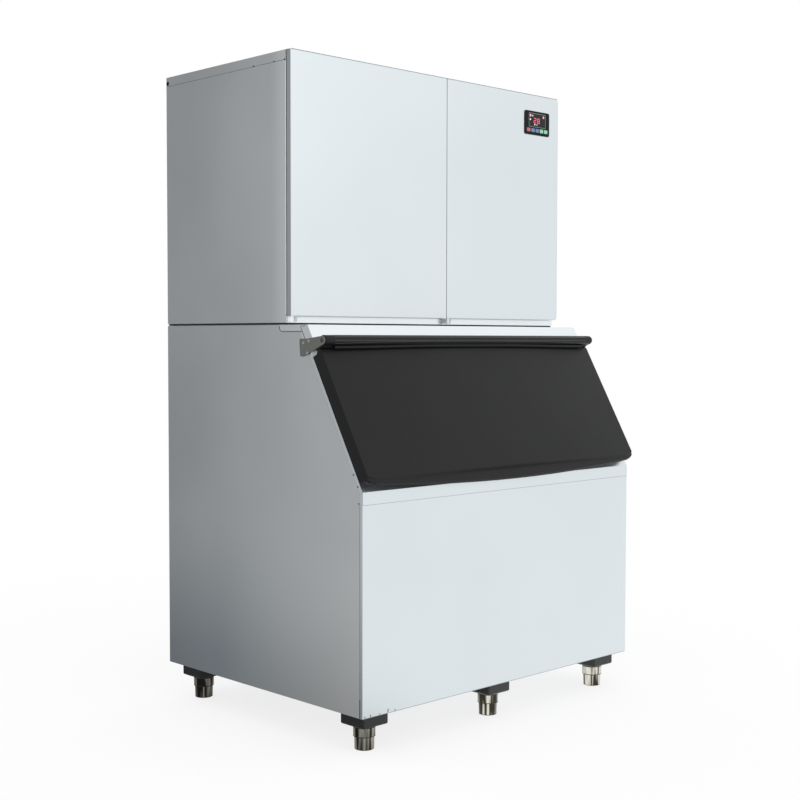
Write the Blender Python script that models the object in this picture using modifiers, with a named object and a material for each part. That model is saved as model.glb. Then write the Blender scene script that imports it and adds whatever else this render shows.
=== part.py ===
"""Commercial cube ice maker: an ice-making head standing on an insulated storage bin.

Metres, +Z up, the front faces -Y, the floor is z = 0 and the origin lies under the middle of the bin.
"""
import math

import bmesh
import bpy
from mathutils import Matrix, Vector

# Sheet metal and fits
SHEET = 0.0010              # thickness of every folded steel panel
SEAT = 0.0003               # clearance left where two pieces touch
RUNNING = 0.0003            # radial clearance of a pin in its hole

# Legs
LEG_BLOCK = 0.100           # side of the square block under the bin
LEG_BLOCK_HEIGHT = 0.042
COLLAR_RADIUS = 0.0305
COLLAR_HEIGHT = 0.035
FOOT_RADIUS = 0.0255
FOOT_HEIGHT = 0.0386
FOOT_RIM = 0.008            # height of the wider rim it stands on
FOOT_STEM_RADIUS = 0.012
FOOT_STEM_LENGTH = 0.034    # screwed length inside the collar
FOOT_TRAVEL = 0.025         # how far a foot can be screwed out
LEG_INSET_X = 0.080         # leg centre from the side of the cabinet
LEG_INSET_Y = 0.080         # leg centre from the front and the back

# Storage bin
CABINET_WIDTH = 1.220
BIN_DEPTH = 0.951
BIN_HEIGHT = 1.1134
EDGE_RETURN = 0.011         # front sheets turn this far round the corner
SLOPE_ANGLE = math.radians(29.6)    # the mouth leans back from upright by this much
SLOPE_SETBACK = 0.2675      # mouth plane behind the front plane, at deck height
FOAM = 0.050                # insulation between the outer sheets and the liner
LINER = 0.0015
RAIL_HEIGHT = 0.0363        # front rail between the front panel and the mouth
RAIL_PROUD = 0.0015
MOUTH_SIDE = 0.075          # from the cabinet side to the mouth opening
MOUTH_TOP = 0.125           # along the slope from deck height to the opening
MOUTH_BOTTOM = 0.052        # along the slope from the lower corner to the opening
DRAIN_RADIUS = 0.017
DRAIN_LENGTH = 0.045
DRAIN_HEIGHT = 0.030        # drain centre above the liner floor

# Header strip above the lid
HEADER_PROUD = 0.0272       # its face in front of the mouth plane
HEADER_LENGTH = 0.078       # its lower end, along the slope from deck height
HEADER_TOP_DEPTH = 0.1303   # how far its top lip runs back over the deck
HEADER_TAB_DROP = 0.020
HEADER_TAB_ROUND = 0.006

# Lid
HINGE_DOWN = 0.0882         # hinge axis along the slope from deck height
HINGE_OUT = 0.0636          # hinge axis in front of the mouth plane
LID_TOP = 0.0215            # slab's upper edge below the hinge axis, along the slope
LID_BOTTOM = 0.435          # slab's lower back edge below the hinge axis
LID_EDGE_THICK = 0.042      # slab at its side edges
LID_CROWN = 0.012           # extra thickness at mid width
LID_LIP_DROP = 0.010        # front lower edge below the back one, at the corners
LID_LIP_BOW = 0.026         # the grip lip hangs this much lower at mid width
LID_LIP_THICK = 0.016
LID_TUBE_RADIUS = 0.015
LID_PIN_RADIUS = 0.006
LID_PIN_LENGTH = 0.030
LID_CREASE_END = 0.018      # crease under the tube, below the axis, at the ends
LID_CREASE_MID = 0.0165     # and at mid width
LID_GROOVE = 0.006          # depth of the groove between the crease and the tube
LID_SHOULDER = 0.018        # depth of its upper end face, before it narrows towards the tube
LID_STEP = 0.005            # the grip lip lies this much below the face
LID_CORNER = 0.010          # rounding of the lower corners
BRACKET_THICK = 0.003
BRACKET_END_RADIUS = 0.0128

# Ice-making head
HEAD_HEIGHT = 0.8005
HEAD_SETBACK = 0.3355       # head front behind the bin front
GASKET = 0.0055             # height of the black seal between bin and head
GASKET_WIDTH = 0.022
SILL_HEIGHT = 0.019
SIDE_TRAY_DEPTH = 0.016     # folded edges of the head's side panels
COVER_LIP = 0.029           # top cover's turned-down edge
VENT_LENGTH = 0.110
VENT_HEIGHT = 0.008
VENT_PITCH = 0.022
ICE_SIDE_SHARE = 0.554      # share of the head's width on the ice-making side
PARTITION_THICK = 0.020

# Doors
DOOR_STANDOFF = 0.004       # between the doors and the head's front edge
DOOR_THICK = 0.0178
DOOR_TOP_GAP = 0.0020
DOOR_MID_GAP = 0.0030
DOOR_SPLIT_LEFT = 0.0189     # gap between the doors, left of the partition
DOOR_RETURN = 0.014         # inner flange round a door's back
DOOR_CORNER = 0.010         # rounded outer corners
PIVOT_IN = 0.0080           # pivot from the door's left edge
PIVOT_BACK = 0.0050         # pivot behind the door's front
PIVOT_RADIUS = 0.0025
PIVOT_ENGAGE = 0.0080       # pin length inside the door
BARREL_RADIUS = 0.0050
TONGUE_THICK = 0.0012
TONGUE_WIDTH = 0.018

# Control panel in the right door
PANEL_WIDTH = 0.130
PANEL_HEIGHT = 0.082
PANEL_FROM_SIDE = 0.1145    # panel centre from the cabinet's right side
PANEL_FROM_TOP = 0.097      # panel centre below the head's top
PANEL_PROUD = 0.002
PANEL_FRAME = 0.006         # rim that lies on the door
PANEL_BODY_DEPTH = 0.014
KEY_COUNT = 5
KEY_WIDTH = 0.018
KEY_HEIGHT = 0.013
KEY_PITCH = 0.0226
KEY_DEPTH = 0.006
KEY_PROUD = 0.0016
KEY_TRAVEL = 0.001
KEY_ROW_UP = 0.0160         # key centres above the panel's lower edge

# Ice-making side of the head
CELL_PITCH = 0.033          # one cube cell of the evaporator
CELL_WALL = 0.003
CELL_DEPTH = 0.020
CELL_ROWS = 11
EVAPORATOR_BACK = 0.004
EVAPORATOR_Y = 0.080        # its front face
EVAPORATOR_UP = 0.230       # its lower edge above the head's floor
COIL_RADIUS = 0.005
CURTAIN_GAP = 0.030         # curtain in front of the cells
CURTAIN_THICK = 0.003
CURTAIN_PIN_RADIUS = 0.004
DISTRIBUTOR_HEIGHT = 0.034
DISTRIBUTOR_OVERHANG = 0.016
TROUGH_DEPTH = 0.170
TROUGH_HEIGHT = 0.110
TROUGH_WALL = 0.003
TROUGH_UP = 0.070           # underside above the head's floor
CHUTE_LEFT = 0.065          # ice chute from the cabinet's left side
CHUTE_RIGHT = 0.091         # and from the partition
CHUTE_DEPTH = 0.130
CHUTE_FRONT = 0.045         # from the head's front edge to the chute
PUMP_RADIUS = 0.038
PUMP_HEIGHT = 0.110
HOSE_RADIUS = 0.009

# Refrigeration side of the head
COMPRESSOR_RADIUS = 0.090
COMPRESSOR_HEIGHT = 0.270
COMPRESSOR_IN = 0.154       # compressor's middle from the partition
COMPRESSOR_Y = 0.130
CONDENSER_SIDE = 0.054      # room at each side of the condenser
CONDENSER_HEIGHT = 0.400
CONDENSER_DEPTH = 0.060
FIN_COUNT = 26
FIN_THICK = 0.002
SHROUD_DEPTH = 0.030
FAN_SHARE = 0.375           # fan radius as a share of the condenser's shorter side
FAN_CLEARANCE = 0.010
FAN_BLADES = 5
FAN_HUB_RADIUS = 0.030
FAN_HUB_DEPTH = 0.022
FAN_SHAFT_RADIUS = 0.004
MOTOR_RADIUS = 0.042
MOTOR_LENGTH = 0.070
BOX_WIDTH = 0.180
BOX_HEIGHT = 0.150
BOX_DEPTH = 0.090
PIPE_RADIUS = 0.005
PIPE_BEND = 0.018
PIPE_DROP = 0.050           # discharge pipe below the condenser's top
BOX_BELOW_TOP = 0.060       # electrical box below the head's top
BOX_FROM_FRONT = 0.040
INLET_RADIUS = 0.013
INLET_LENGTH = 0.045
GLAND_RADIUS = 0.012
GLAND_LENGTH = 0.028
FITTING_IN = 0.160          # inlet and gland from the cabinet's sides
INLET_UP = 0.120
GLAND_UP = 0.600

# Levels and planes that follow from the sizes above
HALF = CABINET_WIDTH / 2
LEG_HEIGHT = LEG_BLOCK_HEIGHT + COLLAR_HEIGHT + FOOT_HEIGHT
BIN_FLOOR = LEG_HEIGHT + SEAT
DECK = BIN_FLOOR + BIN_HEIGHT
FRONT = -BIN_DEPTH / 2
BACK = BIN_DEPTH / 2
SEAM = DECK - SLOPE_SETBACK / math.tan(SLOPE_ANGLE) - RAIL_HEIGHT
SLOPE_TOP = Vector((0, FRONT + SLOPE_SETBACK, DECK))
SLOPE_DOWN = Vector((0, -math.sin(SLOPE_ANGLE), -math.cos(SLOPE_ANGLE)))
SLOPE_OUT = Vector((0, -math.cos(SLOPE_ANGLE), math.sin(SLOPE_ANGLE)))
SLOPE_LENGTH = SLOPE_SETBACK / math.sin(SLOPE_ANGLE)
HEAD_FLOOR = DECK + GASKET + 2 * SEAT
FLOOR_TOP = HEAD_FLOOR + SHEET + SEAT
HEAD_TOP = HEAD_FLOOR + HEAD_HEIGHT
HEAD_FRONT = FRONT + HEAD_SETBACK
DOOR_BACK = HEAD_FRONT - DOOR_STANDOFF
DOOR_FRONT = DOOR_BACK - DOOR_THICK
DOOR_BOTTOM = HEAD_FLOOR + SILL_HEIGHT + 2 * SEAT
DOOR_TOP = HEAD_TOP - DOOR_TOP_GAP
PIVOT_Y = DOOR_FRONT + PIVOT_BACK
INNER = HALF - SHEET - SEAT
PANEL_Z = HEAD_TOP - PANEL_FROM_TOP
PANEL_CENTRE_X = HALF - PANEL_FROM_SIDE
PARTITION_X = -HALF + ICE_SIDE_SHARE * CABINET_WIDTH
DOOR_SPLIT_X = PARTITION_X - DOOR_SPLIT_LEFT
CHUTE_WIDTH = PARTITION_X + HALF - CHUTE_LEFT - CHUTE_RIGHT
EVAPORATOR_X = -HALF + CHUTE_LEFT + CHUTE_WIDTH / 2
HEAD_INNER = HALF - SIDE_TRAY_DEPTH - SEAT
COMPRESSOR_X = PARTITION_X + COMPRESSOR_IN
CONDENSER_X = (PARTITION_X + PARTITION_THICK + HEAD_INNER) / 2
CONDENSER_WIDTH = HEAD_INNER - PARTITION_X - PARTITION_THICK - 2 * CONDENSER_SIDE
FAN_RADIUS = FAN_SHARE * min(CONDENSER_WIDTH, CONDENSER_HEIGHT)
TROUGH_BOTTOM = HEAD_FLOOR + TROUGH_UP
EVAPORATOR_BOTTOM = HEAD_FLOOR + EVAPORATOR_UP
CELL_COLUMNS = int(CHUTE_WIDTH / CELL_PITCH) - 1
EVAPORATOR_WIDTH = CELL_COLUMNS * CELL_PITCH
EVAPORATOR_HEIGHT = CELL_ROWS * CELL_PITCH
EVAPORATOR_TOP = EVAPORATOR_BOTTOM + EVAPORATOR_HEIGHT

for old in list(bpy.data.objects):
    bpy.data.objects.remove(old, do_unlink=True)

parts = bpy.data.collections.new("cube_ice_maker")
cutters = bpy.data.collections.new("cutters")
bpy.context.scene.collection.children.link(parts)
bpy.context.scene.collection.children.link(cutters)

FINISHES = {
    "stainless": ((0.72, 0.75, 0.76), 0.35, 1.0),
    "galvanised": ((0.55, 0.57, 0.58), 0.5, 1.0),
    "black_plastic": ((0.03, 0.03, 0.03), 0.55, 0.0),
    "white_plastic": ((0.82, 0.84, 0.85), 0.4, 0.0),
    "foam": ((0.80, 0.68, 0.38), 0.9, 0.0),
    "rubber": ((0.02, 0.02, 0.02), 0.8, 0.0),
    "chrome": ((0.75, 0.74, 0.72), 0.1, 1.0),
    "copper": ((0.72, 0.38, 0.22), 0.3, 1.0),
    "black_enamel": ((0.02, 0.02, 0.02), 0.3, 0.0),
    "aluminium": ((0.75, 0.76, 0.77), 0.4, 1.0),
    "brass": ((0.70, 0.55, 0.25), 0.3, 1.0),
    "red_key": ((0.65, 0.03, 0.03), 0.4, 0.0),
    "blue_key": ((0.03, 0.15, 0.60), 0.4, 0.0),
    "green_key": ((0.03, 0.50, 0.20), 0.4, 0.0),
}


def new_object(name, mesh, finish, collection=parts):
    """Links a mesh or curve as one named sub-part with its finish."""
    body = bpy.data.objects.new(name, mesh)
    collection.objects.link(body)
    colour, roughness, metallic = FINISHES[finish]
    material = bpy.data.materials.new(name)
    material.use_nodes = True
    shader = material.node_tree.nodes["Principled BSDF"]
    shader.inputs["Base Color"].default_value = (*colour, 1.0)
    shader.inputs["Roughness"].default_value = roughness
    shader.inputs["Metallic"].default_value = metallic
    mesh.materials.clear()
    mesh.materials.append(material)
    return body


def mesh_of(bm, name, smooth=False):
    """Turns a bmesh into a mesh whose faces point outwards."""
    bmesh.ops.recalc_face_normals(bm, faces=bm.faces)
    mesh = bpy.data.meshes.new(name)
    bm.to_mesh(mesh)
    bm.free()
    if smooth:
        mesh.shade_smooth()
        mesh.set_sharp_from_angle(angle=math.radians(35))
    return mesh


def box(name, low, high, finish="stainless", collection=parts):
    """A rectangular block between two corners."""
    low, high = Vector(low), Vector(high)
    bm = bmesh.new()
    bmesh.ops.create_cube(bm, size=1.0)
    bmesh.ops.scale(bm, vec=high - low, verts=bm.verts)
    body = new_object(name, mesh_of(bm, name), finish, collection)
    body.location = (low + high) / 2
    return body


def cylinder(name, centre, axis, radius, length, finish="stainless", collection=parts, sides=24):
    """A round bar about a centre, along axis."""
    bm = bmesh.new()
    bmesh.ops.create_cone(bm, cap_ends=True, segments=sides, radius1=radius, radius2=radius, depth=length)
    body = new_object(name, mesh_of(bm, name, True), finish, collection)
    body.location = centre
    body.rotation_mode = "QUATERNION"
    body.rotation_quaternion = Vector(axis).to_track_quat("Z", "Y")
    return body


def rounded(outline, radius, steps=3):
    """The same closed outline with every corner turned into an arc; radius may be one per corner."""
    radii = radius if isinstance(radius, (list, tuple)) else [radius] * len(outline)
    points = []
    for i, r in enumerate(radii):
        here, before, after = Vector(outline[i]), Vector(outline[i - 1]), Vector(outline[(i + 1) % len(outline)])
        if r <= 0:
            points.append(here)
            continue
        back, ahead = (before - here).normalized(), (after - here).normalized()
        half = back.angle(ahead) / 2
        centre = here + (back + ahead).normalized() * r / math.sin(half)
        start = here + back * r / math.tan(half) - centre
        turn = (here + ahead * r / math.tan(half) - centre).angle_signed(start)
        for k in range(steps + 1):
            points.append(centre + Matrix.Rotation(turn * k / steps, 2) @ start)
    return [tuple(p) for p in points]


def rectangle(x0, x1, y0, y1):
    return [(x0, y0), (x1, y0), (x1, y1), (x0, y1)]


def circle(x, y, radius, sides=16):
    turns = [2 * math.pi * k / sides for k in range(sides)]
    return [(x + radius * math.cos(t), y + radius * math.sin(t)) for t in turns]


PLANES = {
    "X": Matrix(((0, 0, 1), (1, 0, 0), (0, 1, 0))),
    "Y": Matrix(((1, 0, 0), (0, 0, -1), (0, 1, 0))),
    "Z": Matrix.Identity(3),
}


def plate(name, outline, axis, low, high, finish="stainless", holes=(), collection=parts):
    """A flat outline, with holes, as thick as low to high along a world axis."""
    curve = bpy.data.curves.new(name, "CURVE")
    curve.dimensions = "2D"
    curve.fill_mode = "BOTH"
    curve.extrude = (high - low) / 2
    for ring in [outline, *holes]:
        spline = curve.splines.new("POLY")
        spline.points.add(len(ring) - 1)
        for point, (a, b) in zip(spline.points, ring):
            point.co = (a, b, 0, 1)
        spline.use_cyclic_u = True
    turn = PLANES[axis].to_4x4()
    middle = {"X": (1, 0, 0), "Y": (0, 1, 0), "Z": (0, 0, 1)}[axis]
    return solid_from_curve(name, curve, Matrix.Translation(Vector(middle) * (low + high) / 2) @ turn, finish,
                            collection)


def solid_from_curve(name, curve, placing, finish, collection=parts, smooth=False):
    """Makes a curve a closed mesh, welds its caps and puts it in its place."""
    guide = bpy.data.objects.new(name + "_guide", curve)
    bpy.context.scene.collection.objects.link(guide)
    guide.matrix_world = placing
    bpy.context.view_layer.update()
    mesh = bpy.data.meshes.new_from_object(guide.evaluated_get(bpy.context.evaluated_depsgraph_get()))
    bpy.data.objects.remove(guide, do_unlink=True)
    bm = bmesh.new()
    bm.from_mesh(mesh)
    bmesh.ops.remove_doubles(bm, verts=bm.verts, dist=0.00001)
    bpy.data.meshes.remove(mesh)
    body = new_object(name, mesh_of(bm, name, smooth), finish, collection)
    body.matrix_world = placing
    return body


def tube(name, points, radius, finish="copper", collection=parts, resolution=2):
    """A round pipe, wire or hose along its points, with closed ends."""
    curve = bpy.data.curves.new(name, "CURVE")
    curve.dimensions = "3D"
    curve.bevel_depth = radius
    curve.bevel_resolution = resolution
    curve.use_fill_caps = True
    spline = curve.splines.new("POLY")
    spline.points.add(len(points) - 1)
    for point, place in zip(spline.points, points):
        point.co = (*place, 1)
    return solid_from_curve(name, curve, Matrix.Identity(4), finish, collection, True)


def bent(points, radius, steps=3):
    """A path through points whose corners are bends of one radius."""
    path = [Vector(points[0])]
    for before, here, after in zip(points, points[1:], points[2:]):
        before, here, after = Vector(before), Vector(here), Vector(after)
        back, ahead = (before - here).normalized(), (after - here).normalized()
        half = back.angle(ahead) / 2
        reach = radius / math.tan(half)
        centre = here + (back + ahead).normalized() * radius / math.sin(half)
        start, end = here + back * reach - centre, here + ahead * reach - centre
        for k in range(steps + 1):
            path.append(centre + start.normalized().slerp(end.normalized(), k / steps) * radius)
    path.append(Vector(points[-1]))
    return [tuple(p) for p in path]


def turned(name, profile, centre, axis, finish, collection=parts, sides=24):
    """A turned body: (radius, height) points run down its outer side, from the axis to the axis."""
    bm = bmesh.new()
    corners = [bm.verts.new((r, 0, h)) for r, h in profile]
    for first, second in zip(corners, corners[1:]):
        bm.edges.new((first, second))
    mesh = bpy.data.meshes.new(name)
    bm.to_mesh(mesh)
    bm.free()
    body = new_object(name, mesh, finish, collection)
    screw = body.modifiers.new("turned", "SCREW")
    screw.steps = sides
    screw.render_steps = sides
    screw.use_merge_vertices = True
    screw.merge_threshold = 0.00001
    screw.use_smooth_shade = True
    body.location = centre
    body.rotation_mode = "QUATERNION"
    body.rotation_quaternion = Vector(axis).to_track_quat("Z", "Y")
    return body


def tray(name, low, high, open_side, finish="stainless", thickness=SHEET, flange=0.0, collection=parts):
    """A folded pan: a block with one side open, walls turned in by flange round the opening."""
    low, high = Vector(low), Vector(high)
    bm = bmesh.new()
    bmesh.ops.create_cube(bm, size=1.0)
    bmesh.ops.scale(bm, vec=high - low, verts=bm.verts)
    bmesh.ops.recalc_face_normals(bm, faces=bm.faces)
    mouth = max(bm.faces, key=lambda f: f.normal.dot(Vector(open_side)))
    if flange:
        bmesh.ops.inset_region(bm, faces=[mouth], thickness=flange)
    bmesh.ops.delete(bm, geom=[mouth], context="FACES_ONLY")
    mesh = bpy.data.meshes.new(name)
    bm.to_mesh(mesh)
    bm.free()
    body = new_object(name, mesh, finish, collection)
    body.location = (low + high) / 2
    wall(body, thickness)
    return body


def wall(body, thickness):
    """Gives an open sheet its thickness on its inner side."""
    solid = body.modifiers.new("sheet", "SOLIDIFY")
    solid.thickness = thickness
    solid.offset = -1
    solid.use_even_offset = True


def soften(body, width, segments=2, angle=40):
    bevel = body.modifiers.new("rounded edges", "BEVEL")
    bevel.width = width
    bevel.segments = segments
    bevel.limit_method = "ANGLE"
    bevel.angle_limit = math.radians(angle)


def hide(body):
    """A cutter or an added shape stays as a wire guide beside the model."""
    body.hide_render = True
    body.display_type = "WIRE"
    for collection in list(body.users_collection):
        collection.objects.unlink(body)
    cutters.objects.link(body)
    return body


def combine(body, other, operation):
    modifier = body.modifiers.new(operation.lower(), "BOOLEAN")
    modifier.operation = operation
    modifier.solver = "EXACT"
    modifier.object = hide(other)


def cut(body, *others):
    for other in others:
        combine(body, other, "DIFFERENCE")


def join(body, *others):
    for other in others:
        combine(body, other, "UNION")


def on_slope(down, out):
    """The (y, z) place that lies down the slope from deck height and out from the mouth plane."""
    place = SLOPE_TOP + SLOPE_DOWN * down + SLOPE_OUT * out
    return place.y, place.z


def bin_outline(front, slope, top, bottom, back):
    """Side view of the bin with each of its five sides moved inwards by its own amount."""
    slope_y = FRONT + SLOPE_SETBACK + slope / math.cos(SLOPE_ANGLE)
    rise = math.tan(SLOPE_ANGLE)
    corner = DECK - (slope_y - FRONT - front) / rise
    return [
        (FRONT + front, BIN_FLOOR + bottom),
        (BACK - back, BIN_FLOOR + bottom),
        (BACK - back, DECK - top),
        (slope_y - top * rise, DECK - top),
        (FRONT + front, corner),
    ]


def slanted_box(name, x0, x1, down0, down1, out0, out1, finish="stainless"):
    """A block that lies along the slope."""
    body = box(name, (x0, down0, out0), (x1, down1, out1), finish)
    body.matrix_world = slope_matrix() @ Matrix.Translation(((x0 + x1) / 2, (down0 + down1) / 2, (out0 + out1) / 2))
    return body


def slope_matrix():
    """Local x across, y down the slope and z out of the mouth, from the mouth plane at deck height."""
    across = Vector((-1, 0, 0))
    turn = Matrix((across, SLOPE_DOWN, SLOPE_OUT)).transposed().to_4x4()
    return Matrix.Translation(SLOPE_TOP) @ turn


def chute_outline(clearance=0.0):
    x0 = EVAPORATOR_X - CHUTE_WIDTH / 2 + clearance
    y0 = HEAD_FRONT + CHUTE_FRONT + clearance
    return rectangle(x0, x0 + CHUTE_WIDTH - 2 * clearance, y0, y0 + CHUTE_DEPTH - 2 * clearance)


def chute_cutter(name, low, high):
    return plate(name, rounded(chute_outline(), 0.008), "Z", low, high)


def make_bin_sheets():
    """Folded stainless sheets of the bin; front panel and rail turn round the corner onto the sides."""
    lap = EDGE_RETURN + SEAT
    outline = bin_outline(lap, lap, SHEET + SEAT, 0, 0)
    plate("bin_left_side", outline, "X", -HALF, -HALF + SHEET)
    plate("bin_right_side", outline, "X", HALF - SHEET, HALF)
    behind = FRONT + SHEET + SEAT
    box("bin_base_panel", (-INNER, behind, BIN_FLOOR), (INNER, BACK - SHEET - SEAT, BIN_FLOOR + SHEET))
    back = box("bin_back_panel", (-INNER, BACK - SHEET, BIN_FLOOR), (INNER, BACK, DECK - SHEET - SEAT))
    drain_z = BIN_FLOOR + FOAM + DRAIN_HEIGHT
    cut(back, cylinder("drain_hole_outer", (0, BACK, drain_z), (0, 1, 0), DRAIN_RADIUS + SEAT, 0.02))

    corner = bin_outline(0, 0, 0, 0, 0)[-1][1]
    turned_edge = wrap_round_front("bin_front_panel", FRONT, BIN_FLOOR, SEAM)
    rail = wrap_round_front("bin_front_rail", FRONT - RAIL_PROUD, SEAM + SEAT, corner)
    mitre = slanted_box("rail_mitre", -1, 1, SLOPE_LENGTH - 0.2, SLOPE_LENGTH + SEAT, -0.05, 0.05)
    cut(rail, mitre)

    deck_front = HEADER_TOP_DEPTH + HEADER_TOP_Y + SEAT
    deck_outline = rectangle(-HALF, HALF, deck_front, BACK)
    chute = rounded(chute_outline(), 0.008)
    plate("bin_top_deck", deck_outline, "Z", DECK - SHEET, DECK, holes=[chute])


def wrap_round_front(name, front, low, high):
    """A flat front whose two edges are turned back along the cabinet's sides."""
    back = FRONT + EDGE_RETURN
    inner = HALF - SHEET
    outline = [(-HALF, back), (-HALF, front), (HALF, front), (HALF, back),
               (inner, back), (inner, front + SHEET), (-inner, front + SHEET), (-inner, back)]
    return plate(name, outline, "Z", low, high)


HEADER_TOP_Y = on_slope(0, HEADER_PROUD)[0] - (on_slope(0, HEADER_PROUD)[1] - DECK) * math.tan(SLOPE_ANGLE)


def make_header():
    """The pressing over the lid: top lip, slanted face, and flanges that lap the sides."""
    back = HEADER_TOP_Y + HEADER_TOP_DEPTH
    tab = DECK - HEADER_TAB_DROP
    lap = EDGE_RETURN
    rear_y = SLOPE_TOP.y + lap / math.cos(SLOPE_ANGLE) - HEADER_TAB_DROP * math.tan(SLOPE_ANGLE)
    face_end = on_slope(HEADER_LENGTH, HEADER_PROUD)
    rear_end = on_slope(HEADER_LENGTH, -lap)
    outline = [(back, DECK), (HEADER_TOP_Y, DECK), face_end, rear_end, (rear_y, tab), (back, tab)]
    outline = rounded(outline, [0, 0, 0, 0, 0, HEADER_TAB_ROUND])
    outer = HALF + SEAT + SHEET
    header = plate("bin_header", outline, "X", -outer, outer)
    inner = HALF + SEAT
    under = [(back + 0.01, DECK - SHEET), (HEADER_TOP_Y, DECK - SHEET),
             on_slope(HEADER_LENGTH - SHEET, HEADER_PROUD - SHEET), on_slope(HEADER_LENGTH - SHEET, SEAT), on_slope(HEADER_LENGTH + 0.05, SEAT),
             on_slope(HEADER_LENGTH + 0.05, -0.1), (back + 0.01, DECK - 0.1)]
    face_y, face_z = on_slope(0, HEADER_PROUD - SHEET)
    under[1] = (face_y - (face_z - DECK + SHEET) * math.tan(SLOPE_ANGLE), DECK - SHEET)
    cut(header, plate("header_hollow", under, "X", -inner, inner))


def make_insulation():
    """Foam poured between the sheets and the liner, open at the mouth and at the ice chute."""
    skin = SHEET + SEAT
    foam = plate("bin_insulation", bin_outline(skin, skin, skin, skin, skin), "X", -INNER, INNER, "foam")
    gap = SEAT
    hollow = FOAM - gap
    cavity = plate("foam_cavity", bin_outline(hollow, hollow, hollow, hollow, hollow), "X",
                   -HALF + hollow, HALF - hollow, "foam")
    liner_in = FOAM + LINER
    liner = plate("bin_liner", bin_outline(FOAM, FOAM, FOAM, FOAM, FOAM), "X", -HALF + FOAM, HALF - FOAM,
                  "white_plastic")
    store = plate("liner_cavity", bin_outline(liner_in, liner_in, liner_in, liner_in, liner_in), "X",
                  -HALF + liner_in, HALF - liner_in, "white_plastic")
    mouth = mouth_block("mouth_cut_foam", HALF - FOAM + 2 * SEAT, SHEET + 2 * SEAT)
    mouth_liner = mouth_block("mouth_cut_liner", HALF - MOUTH_SIDE, 0)
    chute_foam = chute_cutter("chute_cut_foam", DECK - 2 * FOAM, DECK + 0.01)
    chute_liner = chute_cutter("chute_cut_liner", DECK - 2 * FOAM, DECK + 0.01)
    drain_z = BIN_FLOOR + FOAM + DRAIN_HEIGHT
    drain = (0, BACK - FOAM / 2, drain_z)
    hole_foam = cylinder("drain_hole_foam", drain, (0, 1, 0), DRAIN_RADIUS + SEAT, 2 * FOAM)
    hole_liner = cylinder("drain_hole_liner", drain, (0, 1, 0), DRAIN_RADIUS + SEAT, 2 * FOAM)
    cut(foam, cavity, mouth, chute_foam, hole_foam)
    cut(liner, store, mouth_liner, chute_liner, hole_liner)


def mouth_block(name, side, growth):
    """The slanted opening of the mouth; through the foam it is as wide as the store."""
    return slanted_box(name, -side, side, MOUTH_TOP - growth, SLOPE_LENGTH - MOUTH_BOTTOM + growth,
                       -FOAM - 0.03, 0.02)


def make_mouth_frame():
    """A slanted frame: flat rim on the slope, edges turned onto the sides, sleeve through the foam."""
    bm = bmesh.new()
    length = SLOPE_LENGTH - HEADER_LENGTH - SEAT
    bmesh.ops.create_grid(bm, x_segments=1, y_segments=1, size=0.5)
    bmesh.ops.scale(bm, vec=(CABINET_WIDTH, length, 1), verts=bm.verts)
    middle = HEADER_LENGTH + SEAT + length / 2
    bmesh.ops.translate(bm, vec=(0, middle, 0), verts=bm.verts)
    rim = bm.faces[:][0]
    bmesh.ops.inset_region(bm, faces=[rim], thickness=0.02, use_boundary=True)
    side, top, bottom = HALF - MOUTH_SIDE, MOUTH_TOP, SLOPE_LENGTH - MOUTH_BOTTOM
    for vert in rim.verts:
        vert.co.x = math.copysign(side, vert.co.x)
        vert.co.y = top if vert.co.y < middle else bottom
    hole_edges = rim.edges[:]
    bmesh.ops.delete(bm, geom=[rim], context="FACES_ONLY")
    sleeve = bmesh.ops.extrude_edge_only(bm, edges=hole_edges)
    deep = [v for v in sleeve["geom"] if isinstance(v, bmesh.types.BMVert)]
    bmesh.ops.translate(bm, vec=(0, 0, SEAT - FOAM), verts=deep)
    outer = [e for e in bm.edges if e.is_boundary and all(abs(abs(v.co.x) - HALF) < 0.0001 for v in e.verts)]
    sides = [e for e in outer if abs(e.verts[0].co.x - e.verts[1].co.x) < 0.0001]
    edge = bmesh.ops.extrude_edge_only(bm, edges=sides)
    back = [v for v in edge["geom"] if isinstance(v, bmesh.types.BMVert)]
    bmesh.ops.translate(bm, vec=(0, 0, -EDGE_RETURN), verts=back)
    bmesh.ops.recalc_face_normals(bm, faces=bm.faces)
    front = max(bm.faces, key=lambda f: f.calc_area() * abs(f.normal.z))
    if front.normal.z < 0:
        bmesh.ops.reverse_faces(bm, faces=bm.faces)
    mesh = bpy.data.meshes.new("mouth_frame")
    bm.to_mesh(mesh)
    bm.free()
    frame = new_object("mouth_frame", mesh, "stainless")
    frame.matrix_world = slope_matrix()
    wall(frame, SHEET)
    frame.modifiers["sheet"].solidify_mode = "NON_MANIFOLD"
    frame.modifiers["sheet"].nonmanifold_thickness_mode = "CONSTRAINTS"


def make_drain():
    """Threaded drain elbow stub with a flange inside the liner, through the back wall."""
    inside = BACK - FOAM - LINER
    length = FOAM + LINER + DRAIN_LENGTH
    bore = DRAIN_RADIUS * 0.7
    profile = [(bore, length), (DRAIN_RADIUS, length), (DRAIN_RADIUS, 0), (DRAIN_RADIUS * 1.5, 0),
               (DRAIN_RADIUS * 1.5, -0.003), (bore, -0.003), (bore, length)]
    turned("bin_drain_outlet", profile, (0, inside - SEAT, BIN_FLOOR + FOAM + DRAIN_HEIGHT), (0, 1, 0),
           "white_plastic")


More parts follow.
